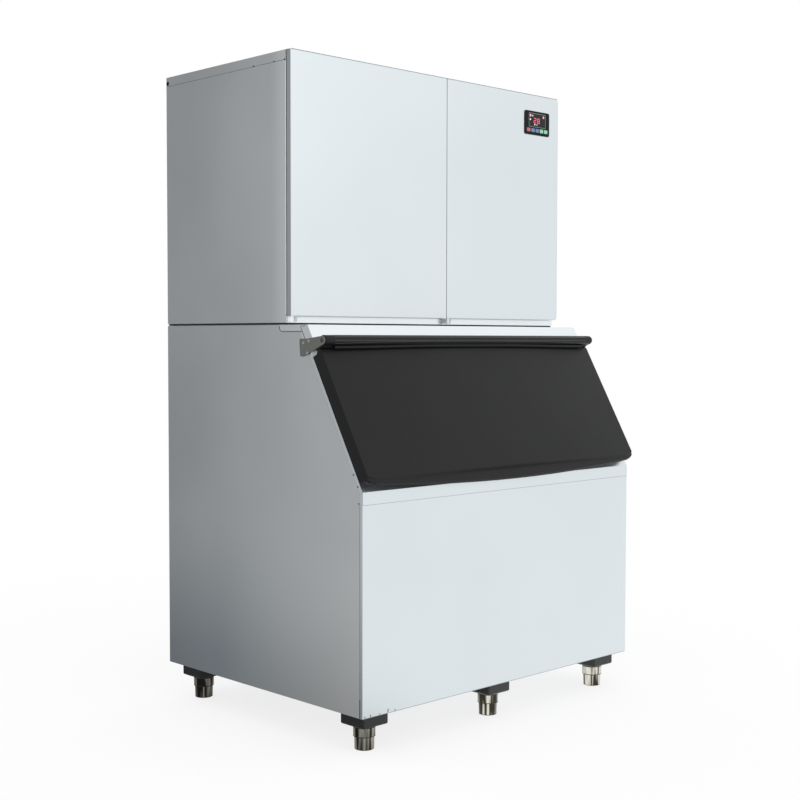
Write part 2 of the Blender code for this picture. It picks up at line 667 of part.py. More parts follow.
def lid_section(x):
    """Half-open outline of the lid at x in (down the slope, out) from the hinge axis."""
    edge = (x / HALF) ** 2
    crown = LID_CROWN * (1 - edge)
    bow = LID_LIP_BOW * (1 - edge)
    back = -HINGE_OUT + SEAT
    face_top = back + LID_EDGE_THICK + crown
    face_low = back + LID_EDGE_THICK + crown * 0.6
    lip_face = back + LID_EDGE_THICK - LID_STEP
    crease = LID_CREASE_MID + (LID_CREASE_END - LID_CREASE_MID) * edge
    bottom = LID_BOTTOM - LID_CORNER * edge ** 24
    lip = bottom + LID_LIP_DROP + bow
    ridge = bottom - 0.004
    points = [
        (LID_TOP, back), (bottom, back),
        (bottom + 0.004 + bow * 0.75, lip_face - LID_LIP_THICK),
        (lip - 0.003, lip_face - LID_LIP_THICK * 0.8),
        (lip, lip_face - LID_LIP_THICK * 0.4),
        (lip - 0.003, lip_face),
        (bottom + 0.002, min(lip_face + 0.001, face_low - LID_STEP / 2)),
        (ridge, face_low),
    ]
    for k in range(1, 5):
        t = k / 5
        points.append((ridge + (crease - ridge) * t,
                       face_low + (face_top - face_low) * t + crown * 0.25 * math.sin(math.pi * t)))
    points.append((crease, face_top))
    points.append((crease - LID_GROOVE / 3, face_top - LID_GROOVE))
    start = math.radians(-50)
    end = math.radians(262)
    for k in range(12):
        turn = start + (end - start) * k / 11
        points.append((LID_TUBE_RADIUS * math.cos(turn), LID_TUBE_RADIUS * math.sin(turn)))
    points.append((LID_TOP, back + LID_SHOULDER))
    return points


def hinge_axis():
    y, z = on_slope(HINGE_DOWN, HINGE_OUT)
    return Vector((0, y, z))


def make_lid():
    """One moulded lid lofted through its sections: slab, grip lip along the bottom, hinge tube along the top."""
    bm = bmesh.new()
    sections = 21
    rings = []
    for i in range(sections):
        x = -HALF * math.cos(math.pi * i / (sections - 1))
        rings.append([bm.verts.new((x, u, v)) for u, v in lid_section(x)])
    for first, second in zip(rings, rings[1:]):
        for k in range(len(first)):
            n = (k + 1) % len(first)
            bm.faces.new((first[k], first[n], second[n], second[k]))
    bm.faces.new(rings[0])
    bm.faces.new(list(reversed(rings[-1])))
    lid = new_object("lid", mesh_of(bm, "lid", True), "black_plastic")
    lid.matrix_world = slope_matrix() @ Matrix.Translation((0, HINGE_DOWN, HINGE_OUT))
    axis = hinge_axis()
    depth = LID_PIN_LENGTH + SEAT
    for side in (-1, 1):
        bore = cylinder(f"lid_bore_{side}", axis + Vector((side * HALF, 0, 0)), (1, 0, 0),
                        LID_PIN_RADIUS + RUNNING, 2 * depth)
        cut(lid, bore)


BRACKET_BACK = 0.101        # plate's rear edge behind the hinge axis
BRACKET_FLAT = 0.072        # where its top edge turns level
BRACKET_TOP_RISE = 0.004    # level part of the top edge above the axis
BRACKET_LOW = 0.0495        # rear lower corner below the axis
BRACKET_NOSE = 0.072        # where the plate's lower edge turns up towards the pivot


def make_brackets():
    """Steel plates screwed to the sides; each carries the pin that the lid's tube turns on."""
    axis = hinge_axis()
    y, z = axis.y, axis.z
    turns = [math.radians(250 - 150 * k / 8) for k in range(9)]
    nose = [(y + BRACKET_END_RADIUS * math.cos(t), z + BRACKET_END_RADIUS * math.sin(t)) for t in turns]
    outline = [(y + BRACKET_FLAT, z + BRACKET_TOP_RISE), (y + BRACKET_BACK, z + BRACKET_TOP_RISE),
               (y + BRACKET_BACK - 0.003, z - BRACKET_LOW), (y + BRACKET_NOSE, z - BRACKET_LOW + 0.006)]
    outline = rounded(outline + nose, [0.010, 0.004, 0.005, 0.006] + [0] * len(nose), 2)
    inner = HALF + 2 * SEAT + SHEET
    for side, name in ((-1, "lid_bracket_left"), (1, "lid_bracket_right")):
        low, high = sorted((side * inner, side * (inner + BRACKET_THICK)))
        bracket = plate(name, outline, "X", low, high)
        pin_end = HALF - LID_PIN_LENGTH
        middle = side * (inner + BRACKET_THICK / 2 + pin_end) / 2
        pin = cylinder(name + "_pin", (middle, y, z), (1, 0, 0), LID_PIN_RADIUS, inner + BRACKET_THICK / 2 - pin_end)
        join(bracket, pin)


def make_legs():
    """Six legs: a square block under the bin with a chromed collar, and a screwed foot in it."""
    x = HALF - LEG_INSET_X
    places = [(px, py) for py in (FRONT + LEG_INSET_Y, BACK - LEG_INSET_Y) for px in (-x, 0, x)]
    for number, (px, py) in enumerate(places, 1):
        half = LEG_BLOCK / 2
        block_low = LEG_HEIGHT - LEG_BLOCK_HEIGHT
        leg = box(f"leg_{number}", (px - half, py - half, block_low), (px + half, py + half, LEG_HEIGHT), "chrome")
        soften(leg, 0.004, 1)
        collar_middle = (px, py, block_low - COLLAR_HEIGHT / 2 + 0.001)
        collar = cylinder(f"collar_{number}", collar_middle, (0, 0, 1), COLLAR_RADIUS, COLLAR_HEIGHT + 0.002)
        bore = cylinder(f"leg_bore_{number}", (px, py, FOOT_HEIGHT), (0, 0, 1), FOOT_STEM_RADIUS + RUNNING,
                        2 * (FOOT_STEM_LENGTH + SEAT), sides=16)
        join(leg, collar)
        cut(leg, bore)
        top = FOOT_HEIGHT - SEAT
        stem_top = top + FOOT_STEM_LENGTH
        neck = FOOT_RADIUS * 0.94
        profile = [(0, stem_top), (FOOT_STEM_RADIUS, stem_top), (FOOT_STEM_RADIUS, top), (neck - 0.002, top),
                   (neck, top - 0.003), (neck, FOOT_RIM + 0.002), (FOOT_RADIUS, FOOT_RIM), (FOOT_RADIUS, 0.003),
                   (FOOT_RADIUS - 0.002, 0), (0, 0)]
        turned(f"foot_{number}", profile, (px, py, 0), (0, 0, 1), "chrome", sides=16)


def vent_slots(x, z, columns, rows):
    """Rounded louvre openings in rows, centred on a place in the panel's own plane."""
    slots = []
    step = VENT_LENGTH + 0.02
    for c in range(columns):
        for r in range(rows):
            a = x + (c - (columns - 1) / 2) * step
            b = z + (r - (rows - 1) / 2) * VENT_PITCH
            half = VENT_LENGTH / 2
            slot = rectangle(a - half, a + half, b - VENT_HEIGHT / 2, b + VENT_HEIGHT / 2)
            slots.append(rounded(slot, VENT_HEIGHT * 0.4, 1))
    return slots


def make_head_case():
    """Seal, base pan with its sill, folded sides, back, cover and the partition between the two halves."""
    ring = rectangle(-HALF + 0.001, HALF - 0.001, HEAD_FRONT + 0.001, BACK - 0.001)
    inner = GASKET_WIDTH
    hole = rectangle(-HALF + inner, HALF - inner, HEAD_FRONT + inner, BACK - inner)
    gasket_low = DECK + SEAT
    plate("head_gasket", rounded(ring, 0.006), "Z", gasket_low, gasket_low + GASKET, "rubber", [rounded(hole, 0.006)])

    pan_high = HEAD_FLOOR + SILL_HEIGHT
    pan = tray("head_base_pan", (-HEAD_INNER, HEAD_FRONT, HEAD_FLOOR), (HEAD_INNER, BACK, pan_high), (0, 0, 1))
    cut(pan, chute_cutter("chute_cut_pan", HEAD_FLOOR - 0.01, HEAD_FLOOR + 0.01))

    side_top = HEAD_TOP - COVER_LIP - SEAT
    inner = HALF - SIDE_TRAY_DEPTH
    tray("head_left_side", (-HALF, HEAD_FRONT, HEAD_FLOOR), (-inner, BACK, side_top), (1, 0, 0))
    right = tray("head_right_side", (inner, HEAD_FRONT, HEAD_FLOOR), (HALF, BACK, side_top), (-1, 0, 0))
    vents = vent_slots(0.17, HEAD_FLOOR + 0.5, 2, 8)
    for number, slot in enumerate(vents):
        cut(right, plate(f"side_vent_{number}", slot, "X", HALF - 0.005, HALF + 0.005))

    back_low = pan_high + SEAT
    outline = rectangle(-HEAD_INNER, HEAD_INNER, back_low, side_top)
    condenser_z = FLOOR_TOP + CONDENSER_HEIGHT / 2
    slots = vent_slots(CONDENSER_X, condenser_z, 3, 12)
    inlet = circle(*INLET_PLACE, INLET_RADIUS * 0.75 + SEAT)
    gland = circle(*GLAND_PLACE, GLAND_RADIUS * 0.75 + SEAT)
    plate("head_back_panel", outline, "Y", BACK - SHEET, BACK, "stainless", [*slots, inlet, gland])

    cover = tray("head_top_cover", (-HALF, HEAD_FRONT, HEAD_TOP - COVER_LIP), (HALF, BACK, HEAD_TOP), (0, 0, -1))
    for name, x in (("left", LEFT_PIVOT_X), ("right", RIGHT_PIVOT_X)):
        half = TONGUE_WIDTH / 2
        x0 = max(x - half, -HALF)
        tongue = rounded(rectangle(x0, x + half, DOOR_FRONT, HEAD_FRONT + 0.01), [0.006, 0.006, 0, 0])
        strip = plate(f"tongue_{name}", tongue, "Z", HEAD_TOP - TONGUE_THICK, HEAD_TOP)
        pin_low = DOOR_TOP - PIVOT_ENGAGE
        pin_high = HEAD_TOP - TONGUE_THICK / 2
        pin = cylinder(f"upper_pin_{name}", (x, PIVOT_Y, (pin_low + pin_high) / 2), (0, 0, 1), PIVOT_RADIUS,
                       pin_high - pin_low, sides=16)
        join(cover, strip, pin)

    low = (PARTITION_X, HEAD_FRONT + SHEET + SEAT, HEAD_FLOOR + SHEET + SEAT)
    high = (PARTITION_X + PARTITION_THICK, BACK - SHEET - SEAT, HEAD_TOP - SHEET - SEAT)
    tray("head_partition", low, high, (1, 0, 0), "galvanised")


LEFT_PIVOT_X = -HALF + PIVOT_IN
RIGHT_PIVOT_X = DOOR_SPLIT_X + DOOR_MID_GAP / 2 + PIVOT_IN
INLET_PLACE = (-HALF + FITTING_IN, HEAD_FLOOR + INLET_UP)
GLAND_PLACE = (HALF - FITTING_IN, HEAD_FLOOR + GLAND_UP)


def door_pan(name, x0, x1, pivot_x, round_right):
    """A folded door: flat face, edges turned back and a narrow return round the open back."""
    low, high = Vector((x0, DOOR_FRONT, DOOR_BOTTOM)), Vector((x1, DOOR_BACK, DOOR_TOP))
    bm = bmesh.new()
    bmesh.ops.create_cube(bm, size=1.0)
    bmesh.ops.scale(bm, vec=high - low, verts=bm.verts)
    bmesh.ops.translate(bm, vec=(low + high) / 2, verts=bm.verts)
    if round_right:
        corners = [e for e in bm.edges if all(abs(v.co.x - x1) < 0.0001 for v in e.verts)
                   and abs(e.verts[0].co.z - e.verts[1].co.z) < 0.0001]
        bmesh.ops.bevel(bm, geom=corners, offset=DOOR_CORNER, segments=4, profile=0.5, affect="EDGES")
    bmesh.ops.recalc_face_normals(bm, faces=bm.faces)
    back = max(bm.faces, key=lambda f: f.normal.y)
    bmesh.ops.inset_region(bm, faces=[back], thickness=DOOR_RETURN)
    bmesh.ops.delete(bm, geom=[back], context="FACES_ONLY")
    pivot = Vector((pivot_x, PIVOT_Y, DOOR_BOTTOM))
    bmesh.ops.translate(bm, vec=-pivot, verts=bm.verts)
    mesh = bpy.data.meshes.new(name)
    bm.to_mesh(mesh)
    bm.free()
    door = new_object(name, mesh, "stainless")
    door.location = pivot
    wall(door, SHEET)
    for end, z in (("low", DOOR_BOTTOM), ("high", DOOR_TOP)):
        cut(door, cylinder(f"{name}_pin_hole_{end}", (pivot_x, PIVOT_Y, z), (0, 0, 1), PIVOT_RADIUS + RUNNING, 0.01,
                           sides=16))
    return door


def make_doors():
    """Two doors, both hung on their left edges, with the control panel's opening in the right one."""
    gap = DOOR_MID_GAP / 2
    door_pan("left_door", -HALF, DOOR_SPLIT_X - gap, LEFT_PIVOT_X, False)
    right = door_pan("right_door", DOOR_SPLIT_X + gap, HALF, RIGHT_PIVOT_X, True)
    cut(right, panel_body("panel_opening", SEAT, 0.03))
    for name, x in (("left_door_hinge", LEFT_PIVOT_X), ("right_door_hinge", RIGHT_PIVOT_X)):
        barrel_top = DOOR_BOTTOM - SEAT
        barrel_low = HEAD_FLOOR + 0.001
        hinge = cylinder(name, (x, PIVOT_Y, (barrel_low + barrel_top) / 2), (0, 0, 1), BARREL_RADIUS,
                         barrel_top - barrel_low)
        pin = cylinder(name + "_pin", (x, PIVOT_Y, barrel_top + PIVOT_ENGAGE / 2 - 0.002), (0, 0, 1), PIVOT_RADIUS,
                       PIVOT_ENGAGE + 0.004, sides=16)
        leaf_back = HEAD_FRONT - SEAT
        arm = box(name + "_arm", (x - 0.003, PIVOT_Y, barrel_low + 0.002), (x + 0.003, leaf_back, barrel_top - 0.002))
        leaf = box(name + "_leaf", (x - 0.003, leaf_back - 0.002, barrel_low + 0.002),
                   (x + 0.032, leaf_back, barrel_top - 0.002))
        join(hinge, pin, arm, leaf)


def panel_body(name, growth, depth, finish="black_plastic"):
    """The block of the control panel that passes through the door's face."""
    half_width = PANEL_WIDTH / 2 - PANEL_FRAME + growth
    half_height = PANEL_HEIGHT / 2 - PANEL_FRAME + growth
    front = DOOR_FRONT - 0.01 if growth else DOOR_FRONT - PANEL_PROUD / 2
    return box(name, (PANEL_CENTRE_X - half_width, front, PANEL_Z - half_height),
               (PANEL_CENTRE_X + half_width, front + depth, PANEL_Z + half_height), finish)


def make_control_panel():
    """A moulded panel on the right door with a display and a row of keys."""
    half_width, half_height = PANEL_WIDTH / 2, PANEL_HEIGHT / 2
    outline = rectangle(PANEL_CENTRE_X - half_width, PANEL_CENTRE_X + half_width, PANEL_Z - half_height,
                        PANEL_Z + half_height)
    face = DOOR_FRONT - SEAT - PANEL_PROUD
    fascia = plate("control_fascia", rounded(outline, 0.007), "Y", face, DOOR_FRONT - SEAT, "black_plastic")
    join(fascia, panel_body("panel_block", 0, PANEL_BODY_DEPTH))
    key_front = face - KEY_PROUD
    key_z = PANEL_Z - half_height + KEY_ROW_UP
    colours = ["red_key", "blue_key", "blue_key", "green_key", "green_key"]
    for number in range(1, KEY_COUNT + 1):
        x = PANEL_CENTRE_X + (number - (KEY_COUNT + 1) / 2) * KEY_PITCH
        low = Vector((x - KEY_WIDTH / 2, key_front, key_z - KEY_HEIGHT / 2))
        high = Vector((x + KEY_WIDTH / 2, key_front + KEY_DEPTH, key_z + KEY_HEIGHT / 2))
        key = box(f"key_{number}", low, high, colours[(number - 1) % len(colours)])
        soften(key, 0.0012, 1)
        room = Vector((SEAT, 0, SEAT))
        travel = Vector((0, KEY_TRAVEL + SEAT, 0))
        pocket = box(f"key_pocket_{number}", low - room, high + room + travel)
        cut(fascia, pocket)

CURTAIN_Y = EVAPORATOR_Y - CURTAIN_GAP
CURTAIN_PIN_Z = EVAPORATOR_TOP + SEAT + DISTRIBUTOR_HEIGHT / 2
TROUGH_FRONT = CURTAIN_Y - 0.002
COIL_Y = EVAPORATOR_Y + CELL_DEPTH + EVAPORATOR_BACK + SEAT + COIL_RADIUS


def make_evaporator():
    """The plate of cube cells with drafted walls, and the cooling coil soldered on its back."""
    bm = bmesh.new()
    bmesh.ops.create_grid(bm, x_segments=CELL_COLUMNS, y_segments=CELL_ROWS, size=0.5)
    bmesh.ops.scale(bm, vec=(EVAPORATOR_WIDTH, EVAPORATOR_HEIGHT, 1), verts=bm.verts)
    cells = bm.faces[:]
    bmesh.ops.inset_individual(bm, faces=cells, thickness=CELL_WALL / 2)
    bmesh.ops.inset_individual(bm, faces=cells, thickness=0.0015)
    floors = {v for f in cells for v in f.verts}
    bmesh.ops.translate(bm, vec=(0, 0, -CELL_DEPTH), verts=list(floors))
    outer = [e for e in bm.edges if e.is_boundary]
    rim = bmesh.ops.extrude_edge_only(bm, edges=outer)
    back = [v for v in rim["geom"] if isinstance(v, bmesh.types.BMVert)]
    bmesh.ops.translate(bm, vec=(0, 0, -CELL_DEPTH - EVAPORATOR_BACK), verts=back)
    bmesh.ops.holes_fill(bm, edges=[e for e in bm.edges if e.is_boundary], sides=0)
    grid = new_object("evaporator_grid", mesh_of(bm, "evaporator_grid"), "chrome")
    grid.location = (EVAPORATOR_X, EVAPORATOR_Y, EVAPORATOR_BOTTOM + EVAPORATOR_HEIGHT / 2)
    grid.rotation_euler = (math.radians(90), 0, 0)
    half = EVAPORATOR_WIDTH / 2
    trough_top = TROUGH_BOTTOM + TROUGH_HEIGHT + SEAT
    for side, name in ((-1, "left"), (1, "right")):
        x = EVAPORATOR_X + side * (half - TROUGH_WALL / 2)
        leg = box(f"evaporator_leg_{name}", (x - 0.001, EVAPORATOR_Y + 0.001, trough_top),
                  (x + 0.001, EVAPORATOR_Y + CELL_DEPTH, EVAPORATOR_BOTTOM + 0.001))
        join(grid, leg)

    runs = 6
    reach = half - 0.03
    step = (EVAPORATOR_HEIGHT - 0.06) / (runs - 1)
    corners = [(EVAPORATOR_X + half - 0.004, COIL_Y, EVAPORATOR_TOP - 0.03)]
    for k in range(runs):
        z = EVAPORATOR_TOP - 0.03 - k * step
        ends = (1, -1) if k % 2 == 0 else (-1, 1)
        if k:
            corners.append((EVAPORATOR_X + ends[0] * reach, COIL_Y, z))
        corners.append((EVAPORATOR_X + ends[1] * reach, COIL_Y, z))
    corners[-1] = (EVAPORATOR_X + half - 0.004, COIL_Y, EVAPORATOR_TOP - 0.03 - (runs - 1) * step)
    tube("evaporator_coil", bent(corners, 0.02), COIL_RADIUS)


def make_water_system():
    """Distributor over the cells, hinged curtain before them, trough below, and pump with its hose."""
    half = EVAPORATOR_WIDTH / 2
    low_z = EVAPORATOR_TOP + SEAT
    end = half + DISTRIBUTOR_OVERHANG
    back = EVAPORATOR_Y + CELL_DEPTH + EVAPORATOR_BACK
    distributor = box("water_distributor", (EVAPORATOR_X - end, EVAPORATOR_Y - 0.006, low_z),
                      (EVAPORATOR_X + end, back, low_z + DISTRIBUTOR_HEIGHT), "white_plastic")
    ear_thick = 0.004
    for side, name in ((-1, "left"), (1, "right")):
        x0, x1 = sorted((EVAPORATOR_X + side * end, EVAPORATOR_X + side * (end - ear_thick)))
        nose = CURTAIN_Y - 0.010
        outline = rounded(rectangle(nose, EVAPORATOR_Y, low_z, low_z + DISTRIBUTOR_HEIGHT), [0.008, 0, 0, 0.008])
        join(distributor, plate(f"curtain_ear_{name}", outline, "X", x0, x1))
        cut(distributor, cylinder(f"ear_hole_{name}", ((x0 + x1) / 2, CURTAIN_Y, CURTAIN_PIN_Z), (1, 0, 0),
                                  CURTAIN_PIN_RADIUS + RUNNING, 3 * ear_thick, sides=16))
    inner = end - ear_thick - SEAT
    curtain_low = TROUGH_BOTTOM + TROUGH_HEIGHT + 0.010
    curtain = box("water_curtain", (-inner, -CURTAIN_THICK / 2, curtain_low - CURTAIN_PIN_Z),
                  (inner, CURTAIN_THICK / 2, 0), "white_plastic")
    curtain.data.transform(Matrix.Translation(curtain.location))
    curtain.location = (EVAPORATOR_X, CURTAIN_Y, CURTAIN_PIN_Z)
    join(curtain, cylinder("curtain_rod", (EVAPORATOR_X, CURTAIN_Y, CURTAIN_PIN_Z), (1, 0, 0), CURTAIN_PIN_RADIUS,
                           2 * end, sides=16))

    low = Vector((EVAPORATOR_X - half, TROUGH_FRONT, TROUGH_BOTTOM))
    high = Vector((EVAPORATOR_X + half, TROUGH_FRONT + TROUGH_DEPTH, TROUGH_BOTTOM + TROUGH_HEIGHT))
    trough = tray("water_trough", low, high, (0, 0, 1), "white_plastic", TROUGH_WALL)
    for number, (dx, dy) in enumerate(((0, 0), (1, 0), (0, 1), (1, 1))):
        x = low.x + 0.02 + dx * (high.x - low.x - 0.04)
        y = low.y + 0.02 + dy * (high.y - low.y - 0.04)
        join(trough, cylinder(f"trough_foot_{number}", (x, y, (FLOOR_TOP + TROUGH_BOTTOM + 0.001) / 2), (0, 0, 1),
                              0.011, TROUGH_BOTTOM + 0.001 - FLOOR_TOP, sides=12))

    pump_low = TROUGH_BOTTOM + TROUGH_WALL + SEAT
    pump_y = COIL_Y + COIL_RADIUS + PUMP_RADIUS + 0.006
    pump_x = EVAPORATOR_X + 0.14
    profile = [(0, PUMP_HEIGHT + 0.03), (0.02, PUMP_HEIGHT + 0.03), (PUMP_RADIUS * 0.8, PUMP_HEIGHT + 0.024),
               (PUMP_RADIUS * 0.8, 0.06), (PUMP_RADIUS, 0.055), (PUMP_RADIUS, 0.03), (0.018, 0.026), (0.018, 0.014),
               (PUMP_RADIUS * 0.7, 0.010), (PUMP_RADIUS * 0.7, 0), (0, 0)]
    turned("circulation_pump", profile, (pump_x, pump_y, pump_low), (0, 0, 1), "black_plastic")
    hose_z = low_z + DISTRIBUTOR_HEIGHT / 2
    hose_x = pump_x + PUMP_RADIUS + SEAT + HOSE_RADIUS
    hose = [(hose_x, pump_y, pump_low + 0.035), (hose_x, pump_y, hose_z), (hose_x, back + SEAT, hose_z)]
    tube("pump_hose", bent(hose, 0.03), HOSE_RADIUS, "rubber")


def make_compressor():
    """Welded hermetic shell with its seam, standing on four rubber feet."""
    r, h = COMPRESSOR_RADIUS, COMPRESSOR_HEIGHT
    profile = [(0, h)] + [(r * math.sin(math.radians(a)), h - 0.05 + 0.05 * math.cos(math.radians(a)))
                          for a in (20, 40, 60, 80)]
    profile += [(r, h - 0.06), (r, 0.6 * h), (r + 0.005, 0.6 * h), (r + 0.005, 0.6 * h - 0.006), (r, 0.6 * h - 0.006),
                (r, 0.05), (r * 0.85, 0.025), (0, 0.022)]
    centre = Vector((COMPRESSOR_X, COMPRESSOR_Y, FLOOR_TOP))
    shell = turned("compressor", profile, centre, (0, 0, 1), "black_enamel", sides=28)
    half = r * 0.95
    join(shell, box("compressor_plate", centre + Vector((-half, -half, 0.018)), centre + Vector((half, half, 0.026))))
    for number, (sx, sy) in enumerate(((-1, -1), (1, -1), (-1, 1), (1, 1))):
        foot = centre + Vector((sx * (half - 0.015), sy * (half - 0.015), 0.0095))
        join(shell, cylinder(f"compressor_foot_{number}", foot, (0, 0, 1), 0.012, 0.019, sides=12))


CONDENSER_BACK = BACK - SHEET - SEAT
SHROUD_FRONT = CONDENSER_BACK - CONDENSER_DEPTH - SHROUD_DEPTH
FAN_Z = FLOOR_TOP + CONDENSER_HEIGHT / 2


def make_condenser():
    """A finned block behind the back vents, with its fan shroud in front."""
    x0 = CONDENSER_X - CONDENSER_WIDTH / 2
    pitch = CONDENSER_WIDTH / FIN_COUNT
    rear = CONDENSER_BACK - SHEET
    near = CONDENSER_BACK - CONDENSER_DEPTH
    middle = (near + rear) / 2
    spine = 0.004
    front, back = [], []
    for k in range(FIN_COUNT):
        a = x0 + k * pitch + (pitch - FIN_THICK) / 2
        b = a + FIN_THICK
        front += [(a, middle - spine), (a, near), (b, near), (b, middle - spine)]
        back += [(a, middle + spine), (a, rear), (b, rear), (b, middle + spine)]
    outline = front + list(reversed(back))
    z0, z1 = FLOOR_TOP, FLOOR_TOP + CONDENSER_HEIGHT
    block = plate("condenser", outline, "Z", z0 + SHEET / 2, z1 - SHEET / 2, "aluminium")
    shroud = tray("condenser_shroud", (x0 - 0.004, SHROUD_FRONT, z0),
                  (x0 + CONDENSER_WIDTH + 0.004, CONDENSER_BACK, z1), (0, 1, 0))
    opening = cylinder("shroud_opening", (CONDENSER_X, SHROUD_FRONT, FAN_Z), (0, 1, 0), FAN_RADIUS + FAN_CLEARANCE,
                       0.02, sides=40)
    cut(shroud, opening)
    join(block, shroud)


def make_fan():
    """Axial fan on its motor, which hangs on four arms over the shroud's opening."""
    arm_y = SHROUD_FRONT - SEAT
    length = MOTOR_LENGTH
    shaft_end = length + 0.004 + 0.018 - SEAT
    profile = [(0, shaft_end), (FAN_SHAFT_RADIUS, shaft_end), (FAN_SHAFT_RADIUS, length),
               (MOTOR_RADIUS * 0.9, length), (MOTOR_RADIUS, length - 0.004), (MOTOR_RADIUS, 0.008), (MOTOR_RADIUS * 0.85, 0), (0, 0)]
    origin = Vector((CONDENSER_X, arm_y - length, FAN_Z))
    motor = turned("fan_motor", profile, origin, (0, 1, 0), "black_enamel")
    reach = FAN_RADIUS + FAN_CLEARANCE + 0.015
    for number in range(2):
        arm = box(f"motor_arm_{number}", (-reach, -0.002, -0.008), (reach, 0.002, 0.008), "galvanised")
        arm.location = (CONDENSER_X, arm_y - 0.002, FAN_Z)
        arm.rotation_euler = (0, math.radians(45 + 90 * number), 0)
        join(motor, arm)
    hub_y = arm_y + 0.003 + FAN_HUB_DEPTH / 2
    fan = cylinder("fan_blade", (CONDENSER_X, hub_y, FAN_Z), (0, 1, 0), FAN_HUB_RADIUS, FAN_HUB_DEPTH,
                   "black_plastic")
    outline = rounded([(FAN_HUB_RADIUS * 0.6, -0.018), (FAN_RADIUS * 0.95, -0.038), (FAN_RADIUS * 0.95, 0.032),
                       (FAN_HUB_RADIUS * 0.6, 0.014)], [0, 0.015, 0.025, 0], 4)
    for number in range(FAN_BLADES):
        blade = plate(f"blade_{number}", outline, "Y", -0.001, 0.001)
        turn = Matrix.Rotation(2 * math.pi * number / FAN_BLADES, 4, "Y")
        pitch = Matrix.Rotation(math.radians(14), 4, "X")
        blade.matrix_world = Matrix.Translation((CONDENSER_X, hub_y, FAN_Z)) @ turn @ pitch @ blade.matrix_world
        join(fan, blade)
    cut(fan, cylinder("hub_bore", (CONDENSER_X, hub_y - FAN_HUB_DEPTH / 2, FAN_Z), (0, 1, 0),
                      FAN_SHAFT_RADIUS + RUNNING, 2 * FAN_HUB_DEPTH - 0.006, sides=16))


def make_services():
    """Electrical box on the partition, refrigerant pipes, water inlet and cable gland."""
    x = PARTITION_X + SHEET + SEAT
    top = HEAD_TOP - BOX_BELOW_TOP
    front = HEAD_FRONT + BOX_FROM_FRONT
    control = box("electrical_box", (x, front, top - BOX_HEIGHT), (x + BOX_DEPTH, front + BOX_WIDTH, top),
                  "galvanised")
    soften(control, 0.003, 1)

    shell_top = FLOOR_TOP + COMPRESSOR_HEIGHT
    start = (COMPRESSOR_X, COMPRESSOR_Y, shell_top + SEAT)
    condenser_side = CONDENSER_X - CONDENSER_WIDTH / 2 - 0.004
    pipe_x = condenser_side - SEAT - PIPE_RADIUS
    high = FLOOR_TOP + CONDENSER_HEIGHT - PIPE_DROP
    end_y = CONDENSER_BACK - CONDENSER_DEPTH / 2
    route = [start, (COMPRESSOR_X, COMPRESSOR_Y, high), (pipe_x, (COMPRESSOR_Y + end_y) / 2, high),
             (pipe_x, end_y, high)]
    tube("discharge_pipe", bent(route, PIPE_BEND), PIPE_RADIUS)

    coil_end = Vector((EVAPORATOR_X + EVAPORATOR_WIDTH / 2 - 0.004, COIL_Y, EVAPORATOR_TOP - 0.03))
    side_x = COMPRESSOR_X - COMPRESSOR_RADIUS - SEAT
    low = FLOOR_TOP + COMPRESSOR_HEIGHT * 0.35
    gap = COMPRESSOR_X - COMPRESSOR_RADIUS - 0.022
    route = [(coil_end.x + SEAT, coil_end.y, coil_end.z), (gap, coil_end.y, coil_end.z),
             (gap, COMPRESSOR_Y, coil_end.z - 3 * PIPE_BEND), (gap, COMPRESSOR_Y, low), (side_x, COMPRESSOR_Y, low)]
    tube("suction_pipe", bent(route, PIPE_BEND * 2 / 3), PIPE_RADIUS)
    partition = bpy.data.objects["head_partition"]
    cut(partition, cylinder("suction_hole", (PARTITION_X, coil_end.y, coil_end.z), (1, 0, 0),
                            PIPE_RADIUS + SEAT, PARTITION_THICK, sides=16))

    for name, place, radius, length, finish in (
            ("water_inlet", INLET_PLACE, INLET_RADIUS, INLET_LENGTH, "brass"),
            ("cable_gland", GLAND_PLACE, GLAND_RADIUS, GLAND_LENGTH, "black_plastic")):
        neck, hub = radius * 0.75, 0.004
        bore = radius * 0.4
        profile = [(bore, length), (neck, length), (neck, length * 0.45), (radius, length * 0.45), (radius, hub),
                   (radius * 1.25, hub), (radius * 1.25, SEAT), (neck, SEAT), (neck, -0.012), (bore, -0.012),
                   (bore, length)]
        turned(name, profile, (place[0], BACK, place[1]), (0, 1, 0), finish, sides=16)


make_bin_sheets()
make_header()
make_insulation()
make_mouth_frame()
make_drain()
make_lid()
make_brackets()
make_legs()
make_head_case()
make_doors()
make_control_panel()
make_evaporator()
make_water_system()
make_compressor()
make_condenser()
make_fan()
make_services()
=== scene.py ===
import math

import bpy
from mathutils import Matrix, Vector


